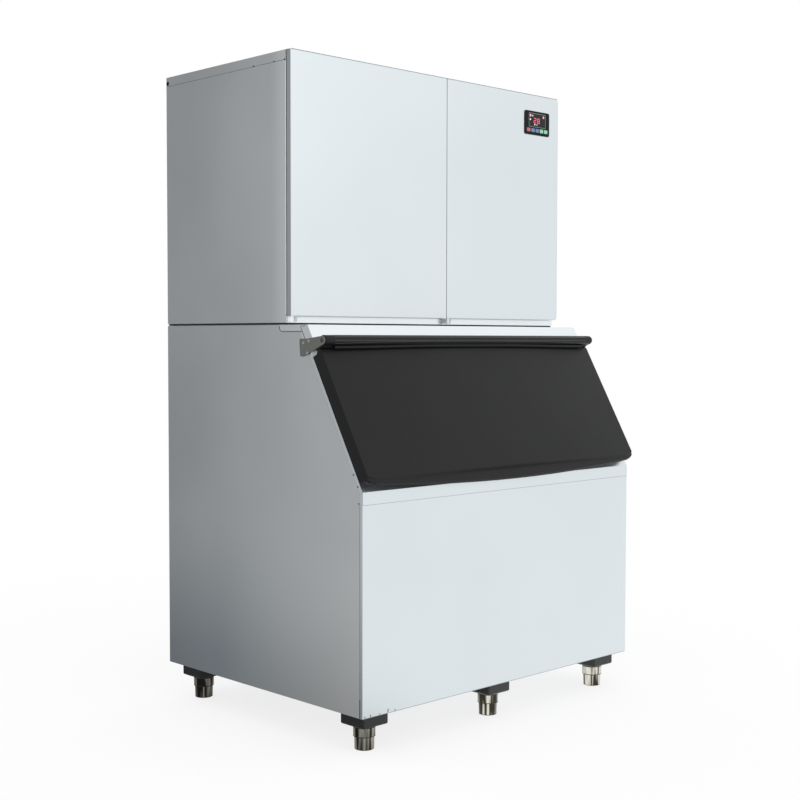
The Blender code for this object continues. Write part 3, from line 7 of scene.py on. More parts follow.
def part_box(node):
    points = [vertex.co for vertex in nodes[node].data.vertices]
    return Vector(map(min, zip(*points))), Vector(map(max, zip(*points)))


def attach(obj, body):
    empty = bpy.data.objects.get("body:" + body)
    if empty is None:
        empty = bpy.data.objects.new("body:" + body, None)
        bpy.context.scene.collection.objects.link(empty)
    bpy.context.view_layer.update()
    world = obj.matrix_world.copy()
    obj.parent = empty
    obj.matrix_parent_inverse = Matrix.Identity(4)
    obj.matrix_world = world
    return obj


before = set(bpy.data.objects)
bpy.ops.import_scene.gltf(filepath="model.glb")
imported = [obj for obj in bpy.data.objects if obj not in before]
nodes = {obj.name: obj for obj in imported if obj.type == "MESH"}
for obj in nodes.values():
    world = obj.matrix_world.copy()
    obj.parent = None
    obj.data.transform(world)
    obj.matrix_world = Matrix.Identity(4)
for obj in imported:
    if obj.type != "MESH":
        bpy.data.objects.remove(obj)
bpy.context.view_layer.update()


# The storage bin's outer sheets. They are 304 stainless steel, folded from 1 mm sheet with a dull rolled polish,
# and riveted along their folds. The thin dark bead where a front meets a side is painted seam shadow.
def linear(code):
    """Turns an sRGB hex colour into the linear colour that a shader takes."""
    channels = [int(code[place:place + 2], 16) / 255 for place in (1, 3, 5)]
    return (*[c / 12.92 if c <= 0.04045 else ((c + 0.055) / 1.055) ** 2.4 for c in channels], 1.0)


def add_node(material, kind, settings=None, inputs=None):
    """Adds a node, sets its own settings, and gives each input a value or a link."""
    tree = material.node_tree
    made = tree.nodes.new(kind)
    for name, value in (settings or {}).items():
        setattr(made, name, value)
    for name, value in (inputs or {}).items():
        if isinstance(value, bpy.types.NodeSocket):
            tree.links.new(value, made.inputs[name])
        else:
            made.inputs[name].default_value = value
    return made


def start_finish(name, colour, roughness, metallic=0.0):
    """Starts a material with its plain values and returns it with its shader."""
    finish = bpy.data.materials.new(name)
    finish.use_nodes = True
    shader = finish.node_tree.nodes["Principled BSDF"]
    shader.inputs["Base Color"].default_value = linear(colour)
    shader.inputs["Roughness"].default_value = roughness
    shader.inputs["Metallic"].default_value = metallic
    return finish, shader


def plug(finish, output, shader, socket):
    """Links a pattern to one of the shader's sockets."""
    finish.node_tree.links.new(output, shader.inputs[socket])


def blend_colours(finish, factor, first, second):
    """Mixes two hex colours by a pattern and returns the mixed colour's socket."""
    tone = add_node(finish, "ShaderNodeMix", {"data_type": "RGBA"}, {"Factor": factor})
    tone.inputs[6].default_value = linear(first)
    tone.inputs[7].default_value = linear(second)
    return tone.outputs[2]


def reach_along(finish, axis, start, end, curve="LINEAR"):
    """How far a point lies from start to end along an axis, both in metres, as a pattern from 0 to 1."""
    place = add_node(finish, "ShaderNodeTexCoord")
    at = add_node(finish, "ShaderNodeSeparateXYZ", None, {"Vector": place.outputs["Object"]})
    reach = add_node(finish, "ShaderNodeMapRange", {"interpolation_type": curve},
                     {"Value": at.outputs[axis], "From Min": start, "From Max": end})
    return reach.outputs["Result"]


def shift_colour(finish, factor, tone):
    """Shifts a finish's colour by a pattern towards a hex colour or another pattern's colour."""
    shader = finish.node_tree.nodes["Principled BSDF"]
    mixed = add_node(finish, "ShaderNodeMix", {"data_type": "RGBA"}, {"Factor": factor})
    finish.node_tree.links.new(shader.inputs["Base Color"].links[0].from_socket, mixed.inputs[6])
    if isinstance(tone, bpy.types.NodeSocket):
        finish.node_tree.links.new(tone, mixed.inputs[7])
    else:
        mixed.inputs[7].default_value = linear(tone)
    plug(finish, mixed.outputs[2], shader, "Base Color")


def dress(finish, *names):
    """Gives a CAD node, or several, the finish of the real piece."""
    for name in names:
        nodes[name].data.materials.clear()
        nodes[name].data.materials.append(finish)


def satin_sheet(name, pale, deep, roughness, grain):
    """Rolled sheet with a dull polish: slow clouds in its tone and fine lines along the rolling direction."""
    # The clouds are about 400 mm across, as handling leaves them. The rolling lines are about 0.3 mm wide in the
    # real sheet and are drawn 2 mm wide and 125 mm long, so that they still show.
    clouds_per_metre, lines_per_metre = 2.4, (8, 8, 500)
    finish, shader = start_finish(name, pale, roughness, 1.0)
    place = add_node(finish, "ShaderNodeTexCoord")
    clouds = add_node(finish, "ShaderNodeTexNoise", None,
                      {"Vector": place.outputs["Object"], "Scale": clouds_per_metre, "Detail": 2.0,
                       "Roughness": 0.4})
    plug(finish, blend_colours(finish, clouds.outputs["Fac"], deep, pale), shader, "Base Color")
    spread = add_node(finish, "ShaderNodeMapRange", None,
                      {"Value": clouds.outputs["Fac"], "To Min": roughness - 0.04, "To Max": roughness + 0.05})
    plug(finish, spread.outputs["Result"], shader, "Roughness")
    stretch = add_node(finish, "ShaderNodeMapping", None,
                       {"Vector": place.outputs["Object"], "Scale": lines_per_metre})
    lines = add_node(finish, "ShaderNodeTexNoise", None, {"Vector": stretch.outputs["Vector"], "Scale": 1.0,
                                                          "Detail": 3.0})
    relief = add_node(finish, "ShaderNodeBump", None, {"Height": lines.outputs["Fac"], "Strength": grain,
                                                       "Distance": 0.0003})
    plug(finish, relief.outputs["Normal"], shader, "Normal")
    return finish


def moulded_plastic(name, colour, roughness, grain_mm, depth):
    """Plastic or rubber from a mould, with the fine grain that the mould leaves on it."""
    # A mould's grain is a few tenths of a millimetre wide, too fine to show. It is drawn twice grain_mm wide, and
    # the gloss changes slowly, over about 170 mm.
    grains_per_metre, patches_per_metre = 500 / grain_mm, 6.0
    finish, shader = start_finish(name, colour, roughness)
    place = add_node(finish, "ShaderNodeTexCoord")
    grain = add_node(finish, "ShaderNodeTexNoise", None,
                     {"Vector": place.outputs["Object"], "Scale": grains_per_metre, "Detail": 2.0})
    relief = add_node(finish, "ShaderNodeBump", None, {"Height": grain.outputs["Fac"], "Strength": depth,
                                                       "Distance": 0.0003})
    plug(finish, relief.outputs["Normal"], shader, "Normal")
    dull = add_node(finish, "ShaderNodeTexNoise", None,
                    {"Vector": place.outputs["Object"], "Scale": patches_per_metre, "Detail": 3.0})
    spread = add_node(finish, "ShaderNodeMapRange", None,
                      {"Value": dull.outputs["Fac"], "To Min": roughness - 0.06, "To Max": roughness + 0.06})
    plug(finish, spread.outputs["Result"], shader, "Roughness")
    return finish


def start_piece():
    """Deselects everything before a new piece is made."""
    bpy.ops.object.select_all(action="DESELECT")


def settle(piece, name, finish, body):
    """Applies a piece's place and modifiers to its mesh, and gives it its name, finish and body."""
    start_piece()
    piece.select_set(True)
    bpy.context.view_layer.objects.active = piece
    if piece.type != "MESH":
        bpy.ops.object.convert(target="MESH")
        piece = bpy.context.object
    bpy.ops.object.transform_apply(location=True, rotation=True, scale=True)
    for modifier in list(piece.modifiers):
        bpy.ops.object.modifier_apply(modifier=modifier.name)
    piece.name = name
    piece.data.name = name
    piece.data.materials.clear()
    piece.data.materials.append(finish)
    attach(piece, body)
    return piece


def bead(name, points, width, finish, body, closed=False):
    """A round bead along points, with filled ends, for sealant, wire, painted shade lines and painted highlights.
    """
    line = bpy.data.curves.new(name, "CURVE")
    line.dimensions = "3D"
    run = line.splines.new("POLY")
    run.points.add(len(points) - 1)
    for point, place in zip(run.points, points):
        point.co = (*place, 1)
    run.use_cyclic_u = closed
    line.bevel_depth = width / 2
    line.bevel_resolution = 2
    line.use_fill_caps = True
    piece = bpy.data.objects.new(name, line)
    bpy.context.scene.collection.objects.link(piece)
    return settle(piece, name, finish, body)


satin_steel = satin_sheet("satin_stainless_front", "#DCE2E4", "#D2D9DB", 0.33, 0.05)
# The side sheets are the fronts' steel, painted slightly darker and greyer as painted shade.
side_steel = satin_sheet("satin_stainless_side", "#D7DBDC", "#C9CDCF", 0.34, 0.09)
galvanised_steel = satin_sheet("galvanised_sheet", "#B3B8BA", "#9CA2A4", 0.45, 0.10)
# The header, the head's floor pan and the folds are the same steel, painted brighter as a painted highlight.
painted_highlight_steel = satin_sheet("fold_steel_painted_highlight", "#EAEEEF", "#E1E6E8", 0.30, 0.05)
dress(satin_steel, "bin_front_panel", "bin_front_rail", "mouth_frame")
# The photograph shows the bin's sides light at the lower front and darker and bluer at the lower rear. That looks
# like a reflection and not like the sheet's own tone, but the studio's light doesn't give it, so it is painted.
bin_side_steel = satin_sheet("satin_stainless_bin_side", "#D7DBDC", "#C9CDCF", 0.34, 0.05)
foot_tone = blend_colours(bin_side_steel, reach_along(bin_side_steel, "Y", -0.46, 0.20), "#EDEFEF", "#B4BDC3")
shift_colour(bin_side_steel, reach_along(bin_side_steel, "Z", 0.62, 0.20), foot_tone)
dress(bin_side_steel, "bin_left_side", "bin_right_side")
dress(side_steel, "bin_top_deck")
dress(galvanised_steel, "bin_base_panel", "bin_back_panel")

silicone = moulded_plastic("black_bead_and_painted_shade", "#121414", 0.5, 2.0, 0.1)
grey_painted_seam_shadow = moulded_plastic("grey_painted_seam_shadow", "#5A6163", 0.55, 2.0, 0.1)
panel_low, panel_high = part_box("bin_front_panel")
bin_side = panel_high[0]
return_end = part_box("bin_left_side")[0][1]
silicone_top = 0.1700
# The dark beads down each front corner, black low down and grey above, are painted seam shadow.
for side, word in ((-1, "left"), (1, "right")):
    x = side * (bin_side - 0.0004)
    bead(f"corner_bead_{word}", [(x, return_end, panel_low[2] + 0.001), (x, return_end, silicone_top)], 0.0030,
         silicone, "cabinet")
    bead(f"corner_seam_{word}", [(x, return_end, silicone_top), (x, return_end, panel_high[2])], 0.0020,
         grey_painted_seam_shadow, "cabinet")
# Thin grey beads along the sheets' edges and seams are painted shade lines.
painted_edge_shade = satin_sheet("painted_edge_shade_steel", "#ADB2B4", "#A0A6A8", 0.50, 0.05)
rail_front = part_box("bin_front_rail")[0][1]
bead("front_seam", [(-bin_side + 0.001, rail_front + 0.0010, panel_high[2]),
                    (bin_side - 0.001, rail_front + 0.0010, panel_high[2])], 0.0022, painted_edge_shade, "cabinet")
bead("front_bottom_edge",
     [(-bin_side + 0.002, panel_low[1] + 0.0006, panel_low[2] + 0.0006),
      (bin_side - 0.002, panel_low[1] + 0.0006, panel_low[2] + 0.0006)], 0.0022, painted_edge_shade, "cabinet")
bead("front_right_edge", [(bin_side, panel_low[1] + 0.0012, panel_low[2] + 0.002),
                          (bin_side, panel_low[1] + 0.0012, panel_high[2])], 0.0024, painted_edge_shade, "cabinet")
# The photograph shows five small dark marks at the left end of the panel's lower edge, given here by x and height.
hem_y, hem_z = panel_low[1] + 0.0010, panel_low[2] + 0.0025
for number, (x, tall) in enumerate(((-0.6010, 0.0040), (-0.5798, 0.0060), (-0.5440, 0.0030), (-0.5115, 0.0100),
                                    (-0.4835, 0.0040)), 1):
    bead(f"hem_notch_{number}", [(x, hem_y, hem_z), (x + 0.0012, hem_y, hem_z + tall)], 0.0038, silicone,
         "cabinet")

# Polyurethane foam is blown between the sheets and holds the polyethylene liner. The liner is vacuum formed, white
# and slightly waxy, with a drain spigot welded through its back.
blown_foam = moulded_plastic("polyurethane_foam", "#D9C48C", 0.9, 4.0, 0.6)
liner_plastic = moulded_plastic("white_polyethylene", "#EEF1F0", 0.42, 2.0, 0.15)
dress(blown_foam, "bin_insulation")
dress(liner_plastic, "bin_liner", "bin_drain_outlet")

# The header strip over the lid is folded over the deck. Its two side tabs lie on the cabinet's sides, and a grey
# line round them is painted shadow in the step.
dress(painted_highlight_steel, "bin_header")
header_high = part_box("bin_header")[1]
strip_low = header_high[2] - 0.0200
for side, word in ((-1, "left"), (1, "right")):
    x = side * (header_high[0] - 0.0002)
    strip = [(x, header_high[1], header_high[2] - 0.004), (x, header_high[1] - 0.001, strip_low + 0.008),
             (x, header_high[1] - 0.004, strip_low + 0.003), (x, header_high[1] - 0.010, strip_low),
             (x, -0.2120, strip_low)]
    bead(f"header_strip_shadow_{word}", strip, 0.0030, grey_painted_seam_shadow, "cabinet")
    tab = [(x, -0.2270, 1.2254), (x, -0.2080, 1.2248), (x, -0.2150, strip_low), (x, -0.2277, 1.1880)]
    bead(f"header_tab_seam_{word}", tab, 0.0026, grey_painted_seam_shadow, "cabinet")
bead("header_right_edge", [(header_high[0], -0.2230, header_high[2] - 0.002),
                           (header_high[0], -0.2690, 1.1640)], 0.0022, painted_edge_shade, "cabinet")

# The lid is one ABS moulding with a foamed core. Its face has a fine leather grain that turns a lamp into a soft
# grey glow, and its round upper edge is glossier.
lid_plastic = moulded_plastic("black_abs_lid", "#161617", 0.42, 1.6, 0.25)
lid_plastic.node_tree.nodes["Principled BSDF"].inputs["Specular IOR Level"].default_value = 0.2
dress(lid_plastic, "lid")

tube_gloss = moulded_plastic("rubbed_abs_tube", "#151616", 0.20, 2.0, 0.1)
# The pale crest line along the lid's upper edge is a painted highlight.
crest_highlight_plastic = moulded_plastic("abs_crest_painted_highlight", "#343535", 0.35, 2.0, 0.1)
hinge_y, hinge_z = -0.3069, 1.1840
tube_half, tube_wide = 0.5770, 0.0306
bead("lid_tube_skin", [(x, hinge_y, hinge_z) for x in (-tube_half, -0.2, 0.2, tube_half)], tube_wide, tube_gloss,
     "lid")
fillet_row = [(-0.5680, -0.3060, 1.1640), (-0.4300, -0.3085, 1.1650), (-0.2, -0.3105, 1.1678)]
fillet_row += [(-x, y, z) for x, y, z in reversed(fillet_row)]
bead("lid_fillet", fillet_row, 0.0120, lid_plastic, "lid")
# The crest runs round the tube from 40 degrees under its front at the ends to 6 degrees under it at mid width.
crest_half, crest_radius = 0.5740, 0.0151
crest_rows = []
for x in (-crest_half, -0.50, -0.40, -0.30, -0.20, -0.10, 0.0, 0.10, 0.20, 0.30, 0.40, 0.50, crest_half):
    turn = math.radians(40 - 34 * (1 - (x / crest_half) ** 2))
    crest_rows.append((x, hinge_y - crest_radius * math.cos(turn), hinge_z - crest_radius * math.sin(turn)))
bead("lid_crest", crest_rows, 0.0016, crest_highlight_plastic, "lid")

# The lid hangs between two cast zinc brackets, each held by three cross-head screws, with the riveted end of the
# hinge pin in its nose.
bracket_zinc = moulded_plastic("grey_die_cast", "#5A5C57", 0.42, 2.4, 0.3)
dress(bracket_zinc, "lid_bracket_left", "lid_bracket_right")


def worked_metal(name, bright, dull, roughness, mark_mm, depth, metallic=1.0):
    """Metal from a die, a lathe or a plating bath: small cloudy marks in its tone, its gloss and its surface."""
    finish, shader = start_finish(name, bright, roughness, metallic)
    place = add_node(finish, "ShaderNodeTexCoord")
    marks = add_node(finish, "ShaderNodeTexNoise", None,
                     {"Vector": place.outputs["Object"], "Scale": 1000 / mark_mm, "Detail": 3.0})
    plug(finish, blend_colours(finish, marks.outputs["Fac"], dull, bright), shader, "Base Color")
    spread = add_node(finish, "ShaderNodeMapRange", None,
                      {"Value": marks.outputs["Fac"], "To Min": roughness - 0.05, "To Max": roughness + 0.08})
    plug(finish, spread.outputs["Result"], shader, "Roughness")
    relief = add_node(finish, "ShaderNodeBump", None, {"Height": marks.outputs["Fac"], "Strength": depth,
                                                       "Distance": 0.0002})
    plug(finish, relief.outputs["Normal"], shader, "Normal")
    return finish


def screw_pattern(radius, height, finish):
    """A pan-head screw with a cross recess, lying at the origin with its head towards +X."""
    start_piece()
    bpy.ops.mesh.primitive_cylinder_add(vertices=20, radius=radius, depth=height, location=(height / 2, 0, 0),
                                        rotation=(0, math.pi / 2, 0))
    head = bpy.context.object
    bpy.ops.object.transform_apply(location=True, rotation=True, scale=True)
    bpy.ops.object.mode_set(mode="EDIT")
    bpy.ops.mesh.select_all(action="DESELECT")
    bpy.ops.object.mode_set(mode="OBJECT")
    for face in head.data.polygons:
        face.select = face.normal.x > 0.9
    bpy.ops.object.mode_set(mode="EDIT")
    bpy.ops.mesh.bevel(offset=height * 0.6, segments=3, affect="EDGES")
    bpy.ops.object.mode_set(mode="OBJECT")
    for turn in (0, 1):
        start_piece()
        bpy.ops.mesh.primitive_cube_add(size=1, location=(height, 0, 0))
        blade = bpy.context.object
        blade.scale = (height * 1.2, radius * (1.3, 0.3)[turn], radius * (0.3, 1.3)[turn])
        bpy.ops.object.transform_apply(location=True, rotation=True, scale=True)
        recess = head.modifiers.new("recess", "BOOLEAN")
        recess.object = blade
        recess.operation = "DIFFERENCE"
        start_piece()
        head.select_set(True)
        bpy.context.view_layer.objects.active = head
        bpy.ops.object.modifier_apply(modifier="recess")
        bpy.data.objects.remove(blade, do_unlink=True)
    head.data.materials.clear()
    head.data.materials.append(finish)
    return head


def place_screws(pattern, rows):
    """Copies the pattern, each copy with its own mesh, to named places with their turns and bodies."""
    for name, place, turn, body in rows:
        mesh = pattern.data.copy()
        mesh.transform(Matrix.Translation(place) @ Matrix.Rotation(turn, 4, "Z"))
        copy = bpy.data.objects.new(name, mesh)
        mesh.name = name
        bpy.context.scene.collection.objects.link(copy)
        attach(copy, body)
    bpy.data.objects.remove(pattern, do_unlink=True)


screw_steel = worked_metal("zinc_plated_screw", "#DADBD6", "#8F9089", 0.25, 3.0, 0.3)
pin_steel = worked_metal("dark_riveted_pin", "#4A4B45", "#33342F", 0.35, 3.0, 0.3)
bracket_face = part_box("lid_bracket_right")[1][0]
bracket_seat = bracket_face - 0.0004
bracket_rows = []
for side, word, turn in ((-1, "left", math.pi), (1, "right", 0)):
    for number, (y, z) in enumerate(((-0.2225, 1.1765), (-0.2480, 1.1820), (-0.2406, 1.1466)), 1):
        bracket_rows.append((f"bracket_screw_{word}_{number}", (side * bracket_seat, y, z), turn, "cabinet"))
place_screws(screw_pattern(radius=0.0050, height=0.0011, finish=screw_steel), bracket_rows)

# Each pin's riveted end also gets a small bright dot just off its centre, a painted glint.
pin_rows = []
for side, word in ((-1, "left"), (1, "right")):
    start_piece()
    bpy.ops.mesh.primitive_cylinder_add(vertices=24, radius=0.0062, depth=0.0016,
                                        location=(side * bracket_seat, hinge_y, hinge_z),
                                        rotation=(0, math.pi / 2, 0))
    rivet = bpy.context.object
    dome = rivet.modifiers.new("dome", "BEVEL")
    dome.width = 0.0006
    dome.segments = 3
    pin_rows.append((f"hinge_pin_glint_{word}", (side * (bracket_face - 0.0001), hinge_y - 0.0010, hinge_z),
                     0 if side > 0 else math.pi, "cabinet"))
    settle(rivet, f"hinge_pin_rivet_{word}", pin_steel, "cabinet")
place_screws(screw_pattern(radius=0.0018, height=0.0010, finish=screw_steel), pin_rows)

# The legs: a flanged nylon block under the cabinet with its short neck pressed into a chromed collar, and a
# chromed cup that turns on the foot's screw. The chrome's upright streaks are painted to look like those in the
# photograph, which are probably reflections.
def streaky_chrome(name, nylon_above):
    """Chromed steel with upright streaks, and black nylon above a height, or chrome all over if that is None."""
    # The streaks are about 12 mm wide and 200 mm long, to look like those in the photograph.
    streaks_per_metre = (85, 85, 5)
    finish, shader = start_finish(name, "#77736A", 0.16, 1.0)
    place = add_node(finish, "ShaderNodeTexCoord")
    drawn = add_node(finish, "ShaderNodeMapping", None,
                     {"Vector": place.outputs["Object"], "Scale": streaks_per_metre})
    streaks = add_node(finish, "ShaderNodeTexNoise", None, {"Vector": drawn.outputs["Vector"], "Scale": 1.0,
                                                            "Detail": 1.0})
    contrast = add_node(finish, "ShaderNodeMapRange", None, {"Value": streaks.outputs["Fac"], "From Min": 0.46,
                                                             "From Max": 0.66})
    tone = blend_colours(finish, contrast.outputs["Result"], "#37352C", "#DAD5C7")
    relief = add_node(finish, "ShaderNodeBump", None, {"Height": streaks.outputs["Fac"], "Strength": 0.25,
                                                       "Distance": 0.0004})
    plug(finish, relief.outputs["Normal"], shader, "Normal")
    if nylon_above is None:
        plug(finish, tone, shader, "Base Color")
        return finish
    height = add_node(finish, "ShaderNodeSeparateXYZ", None, {"Vector": place.outputs["Object"]})
    chrome = add_node(finish, "ShaderNodeMath", {"operation": "LESS_THAN"},
                      {0: height.outputs["Z"], 1: nylon_above})
    both = add_node(finish, "ShaderNodeMix", {"data_type": "RGBA"}, {"Factor": chrome.outputs[0]})
    both.inputs[6].default_value = linear("#161717")
    finish.node_tree.links.new(tone, both.inputs[7])
    plug(finish, both.outputs[2], shader, "Base Color")
    plug(finish, chrome.outputs[0], shader, "Metallic")
    gloss = add_node(finish, "ShaderNodeMapRange", None,
                     {"Value": chrome.outputs[0], "To Min": 0.34, "To Max": 0.15})
    plug(finish, gloss.outputs["Result"], shader, "Roughness")
    return finish


def turned_shell(name, centre, low, high, foot_radius, top_radius, finish, body):
    """A turned sleeve round an upright axis, tapered and rounded at its lower rim."""
    start_piece()
    bpy.ops.mesh.primitive_cylinder_add(vertices=40, radius=top_radius, depth=high - low,
                                        location=(centre[0], centre[1], (low + high) / 2))
    shell = bpy.context.object
    bpy.ops.object.transform_apply(location=True, rotation=True, scale=True)
    # Faces and edges are set too, because one that is still selected would select all its vertices again.
    for face in shell.data.polygons:
        face.select = face.normal.z < -0.9
    for edge in shell.data.edges:
        edge.select = all(shell.data.vertices[end].co.z < low + 0.0001 for end in edge.vertices)
    for vertex in shell.data.vertices:
        vertex.select = vertex.co.z < low + 0.0001
    bpy.ops.object.mode_set(mode="EDIT")
    bpy.ops.mesh.select_mode(type="VERT")
    shrink = foot_radius / top_radius
    bpy.ops.transform.resize(value=(shrink, shrink, 1), center_override=(centre[0], centre[1], low))
    bpy.ops.mesh.bevel(offset=0.0022, segments=3, affect="EDGES")
    bpy.ops.object.mode_set(mode="OBJECT")
    bpy.ops.object.shade_smooth_by_angle(angle=math.radians(40))
    return settle(shell, name, finish, body)


# The black neck starts at this height, and the sleeve below it is chromed.
neck_foot = 0.0655
leg_finish = streaky_chrome("black_nylon_in_chromed_collar", neck_foot)
foot_chrome = streaky_chrome("chromed_steel", None)
# The sleeves' radii at their lower and upper rims.
collar_radii, cup_radii = (0.0322, 0.0328), (0.0284, 0.0294)
sleeve_tall = 0.0348
for number in range(1, 7):
    dress(leg_finish, f"leg_{number}")
    dress(foot_chrome, f"foot_{number}")
    leg_low, leg_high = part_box(f"leg_{number}")
    middle = ((leg_low[0] + leg_high[0]) / 2, (leg_low[1] + leg_high[1]) / 2)
    turned_shell(f"leg_collar_{number}", middle, leg_low[2] + 0.0002, leg_low[2] + sleeve_tall, *collar_radii,
                 leg_finish, "cabinet")
    turned_shell(f"foot_cup_{number}", middle, 0.0006, leg_low[2] - 0.0004, *cup_radii, foot_chrome,
                 f"foot_{number}")
    # A dark ring at the lower rim of each collar and cup is painted shade.
    for word, reach, height, body in (("collar", 0.0313, leg_low[2] + 0.0012, "cabinet"),
                                      ("foot", 0.0272, 0.0022, f"foot_{number}")):
        turns = [step * math.pi / 14 for step in range(28)]
        ring = [(middle[0] + reach * math.cos(turn), middle[1] + reach * math.sin(turn), height) for turn in turns]
        bead(f"{word}_ring_{number}", ring, 0.0030, silicone, body, closed=True)

# The head's case: sides and cover in the side stainless, the floor pan and sill in stainless painted brighter as a
# painted highlight, the back galvanised. It stands on a rubber seal, and small black screws hold the cover's lip.
seal_rubber = moulded_plastic("black_epdm_rubber", "#161717", 0.75, 2.0, 0.2)
inner_white = moulded_plastic("white_abs_partition", "#E9ECEB", 0.40, 2.0, 0.1)
dress(seal_rubber, "head_gasket")
dress(painted_highlight_steel, "head_base_pan")
# The head's sides are painted a little lighter at their front edge, a painted reflection like the bin's tones.
head_side_steel = satin_sheet("satin_stainless_head_side", "#D7DBDC", "#C9CDCF", 0.34, 0.09)
shift_colour(head_side_steel, reach_along(head_side_steel, "Y", -0.06, -0.14, "SMOOTHSTEP"), "#E3E7E8")
dress(head_side_steel, "head_left_side", "head_right_side", "head_top_cover")
dress(galvanised_steel, "head_back_panel")
dress(inner_white, "head_partition")

black_steel = worked_metal("black_oxide_screw", "#2A2B2C", "#191A1A", 0.35, 3.0, 0.2)
cover_low, cover_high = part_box("head_top_cover")
seam_z = cover_low[2] + 0.0008
sunk = 0.0003
cover_side = cover_high[0] - sunk
bead("cover_front_edge",
     [(cover_low[0] + 0.003, cover_low[1] + 0.0006, cover_high[2] - 0.0004),
      (cover_high[0] - 0.003, cover_low[1] + 0.0006, cover_high[2] - 0.0004)], 0.0024, painted_edge_shade, "cabinet")
cover_rows = []
for side, word, turn in ((-1, "left", math.pi), (1, "right", 0)):
    # A grey line along each side of the cover's lower seam is painted seam shadow.
    bead(f"cover_seam_{word}", [(side * cover_side, -0.1380, seam_z - 0.0010),
                                (side * cover_side, 0.4740, seam_z - 0.0010)], 0.0018, grey_painted_seam_shadow, "cabinet")
    for number, y in enumerate((0.0137, -0.0851, -0.1344), 1):
        cover_rows.append((f"cover_screw_{word}_{number}", (side * cover_side, y, seam_z), turn, "cabinet"))
for word, rim, outer, inner in (("head", 0.018, 0.575, 0.19), ("bin", 0.020, 0.590, 0.20)):
    low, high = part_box(f"{word}_back_panel")
    for row, z in enumerate((low[2] + rim, (low[2] + high[2]) / 2, high[2] - rim), 1):
        for number, x in enumerate((-outer, -inner, inner, outer), 1):
            cover_rows.append((f"{word}_back_screw_{row}_{number}", (x, high[1] - sunk, z), math.pi / 2, "cabinet"))
place_screws(screw_pattern(radius=0.0026, height=0.0012, finish=black_steel), cover_rows)
clip_rows = [(f"rear_clip_{word}", (side * cover_side, 0.4680, 2.0160), turn, "cabinet")
             for side, word, turn in ((-1, "left", math.pi), (1, "right", 0))]
place_screws(screw_pattern(radius=0.0068, height=0.0012, finish=black_steel), clip_rows)

rivet_rows = [(f"corner_rivet_{number}", (-bin_side + sunk, y, z), math.pi, "cabinet")
              for number, (y, z) in enumerate(((-0.4385, 0.8054), (-0.4560, 0.7727), (-0.4600, 0.7253)), 1)]
place_screws(screw_pattern(radius=0.0024, height=0.0010, finish=black_steel), rivet_rows)

# The two doors are folded stainless pans that turn on pins in small hinge tongues. A strip of grey foam tape
# inside each door's edge closes it softly on the case.
door_steel = satin_sheet("satin_stainless_door", "#DCE2E4", "#D2D9DB", 0.33, 0.05)
# The doors' folded side edges are darker in the photograph than the studio's light makes them, so they are painted
# darker beyond this distance from the middle.
return_start = 0.6096
door_place = add_node(door_steel, "ShaderNodeTexCoord")
door_at = add_node(door_steel, "ShaderNodeSeparateXYZ", None, {"Vector": door_place.outputs["Object"]})
door_reach = add_node(door_steel, "ShaderNodeMath", {"operation": "ABSOLUTE"}, {0: door_at.outputs["X"]})
is_return = add_node(door_steel, "ShaderNodeMath", {"operation": "GREATER_THAN"},
                     {0: door_reach.outputs[0], 1: return_start})
shift_colour(door_steel, is_return.outputs[0], "#B9BEC0")
# The hinge tongues are painted white, a painted highlight where their chamfers catch the light.
hinge_painted_highlight = moulded_plastic("white_hinge_painted_highlight", "#F2F4F4", 0.45, 2.0, 0.1)
dress(door_steel, "left_door", "right_door")
dress(hinge_painted_highlight, "left_door_hinge", "right_door_hinge")
foam_tape = moulded_plastic("grey_foam_tape", "#626769", 0.85, 1.5, 0.4)
# The bright bead down each side sheet's front fold is a painted highlight.
fold_reach, fold_y = 0.6094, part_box("head_left_side")[0][1] + 0.0012
for side, word in ((-1, "left"), (1, "right")):
    bead(f"side_fold_{word}", [(side * fold_reach, fold_y, 1.2600), (side * fold_reach, fold_y, 2.0020)], 0.0030,
         painted_highlight_steel, "cabinet")
left_low, left_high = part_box("left_door")
right_low, right_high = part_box("right_door")
grey_strip = moulded_plastic("pale_grey_pvc_strip", "#D3D7D9", 0.5, 2.0, 0.1)
bead("door_centre_strip",
     [(left_high[0] + 0.0014, left_low[1] + 0.0024, left_low[2] + 0.004),
      (left_high[0] + 0.0014, left_low[1] + 0.0024, left_high[2] - 0.004)], 0.0022, grey_strip, "left_door")
for word, low, high in (("left", left_low, left_high), ("right", right_low, right_high)):
    bead(f"{word}_door_bottom_edge",
         [(low[0] + 0.010, low[1] + 0.0010, low[2] + 0.0012),
          (high[0] - 0.010, low[1] + 0.0010, low[2] + 0.0012)], 0.0024, painted_edge_shade, f"{word}_door")
bead("right_door_right_edge",
     [(right_high[0] - 0.0006, right_low[1] + 0.0014, right_low[2] + 0.010),
      (right_high[0] - 0.0006, right_low[1] + 0.0014, right_high[2] - 0.010)], 0.0030, painted_edge_shade, "right_door")
tape_wide, tape_thick, tape_rim = 0.007, 0.0028, 0.005
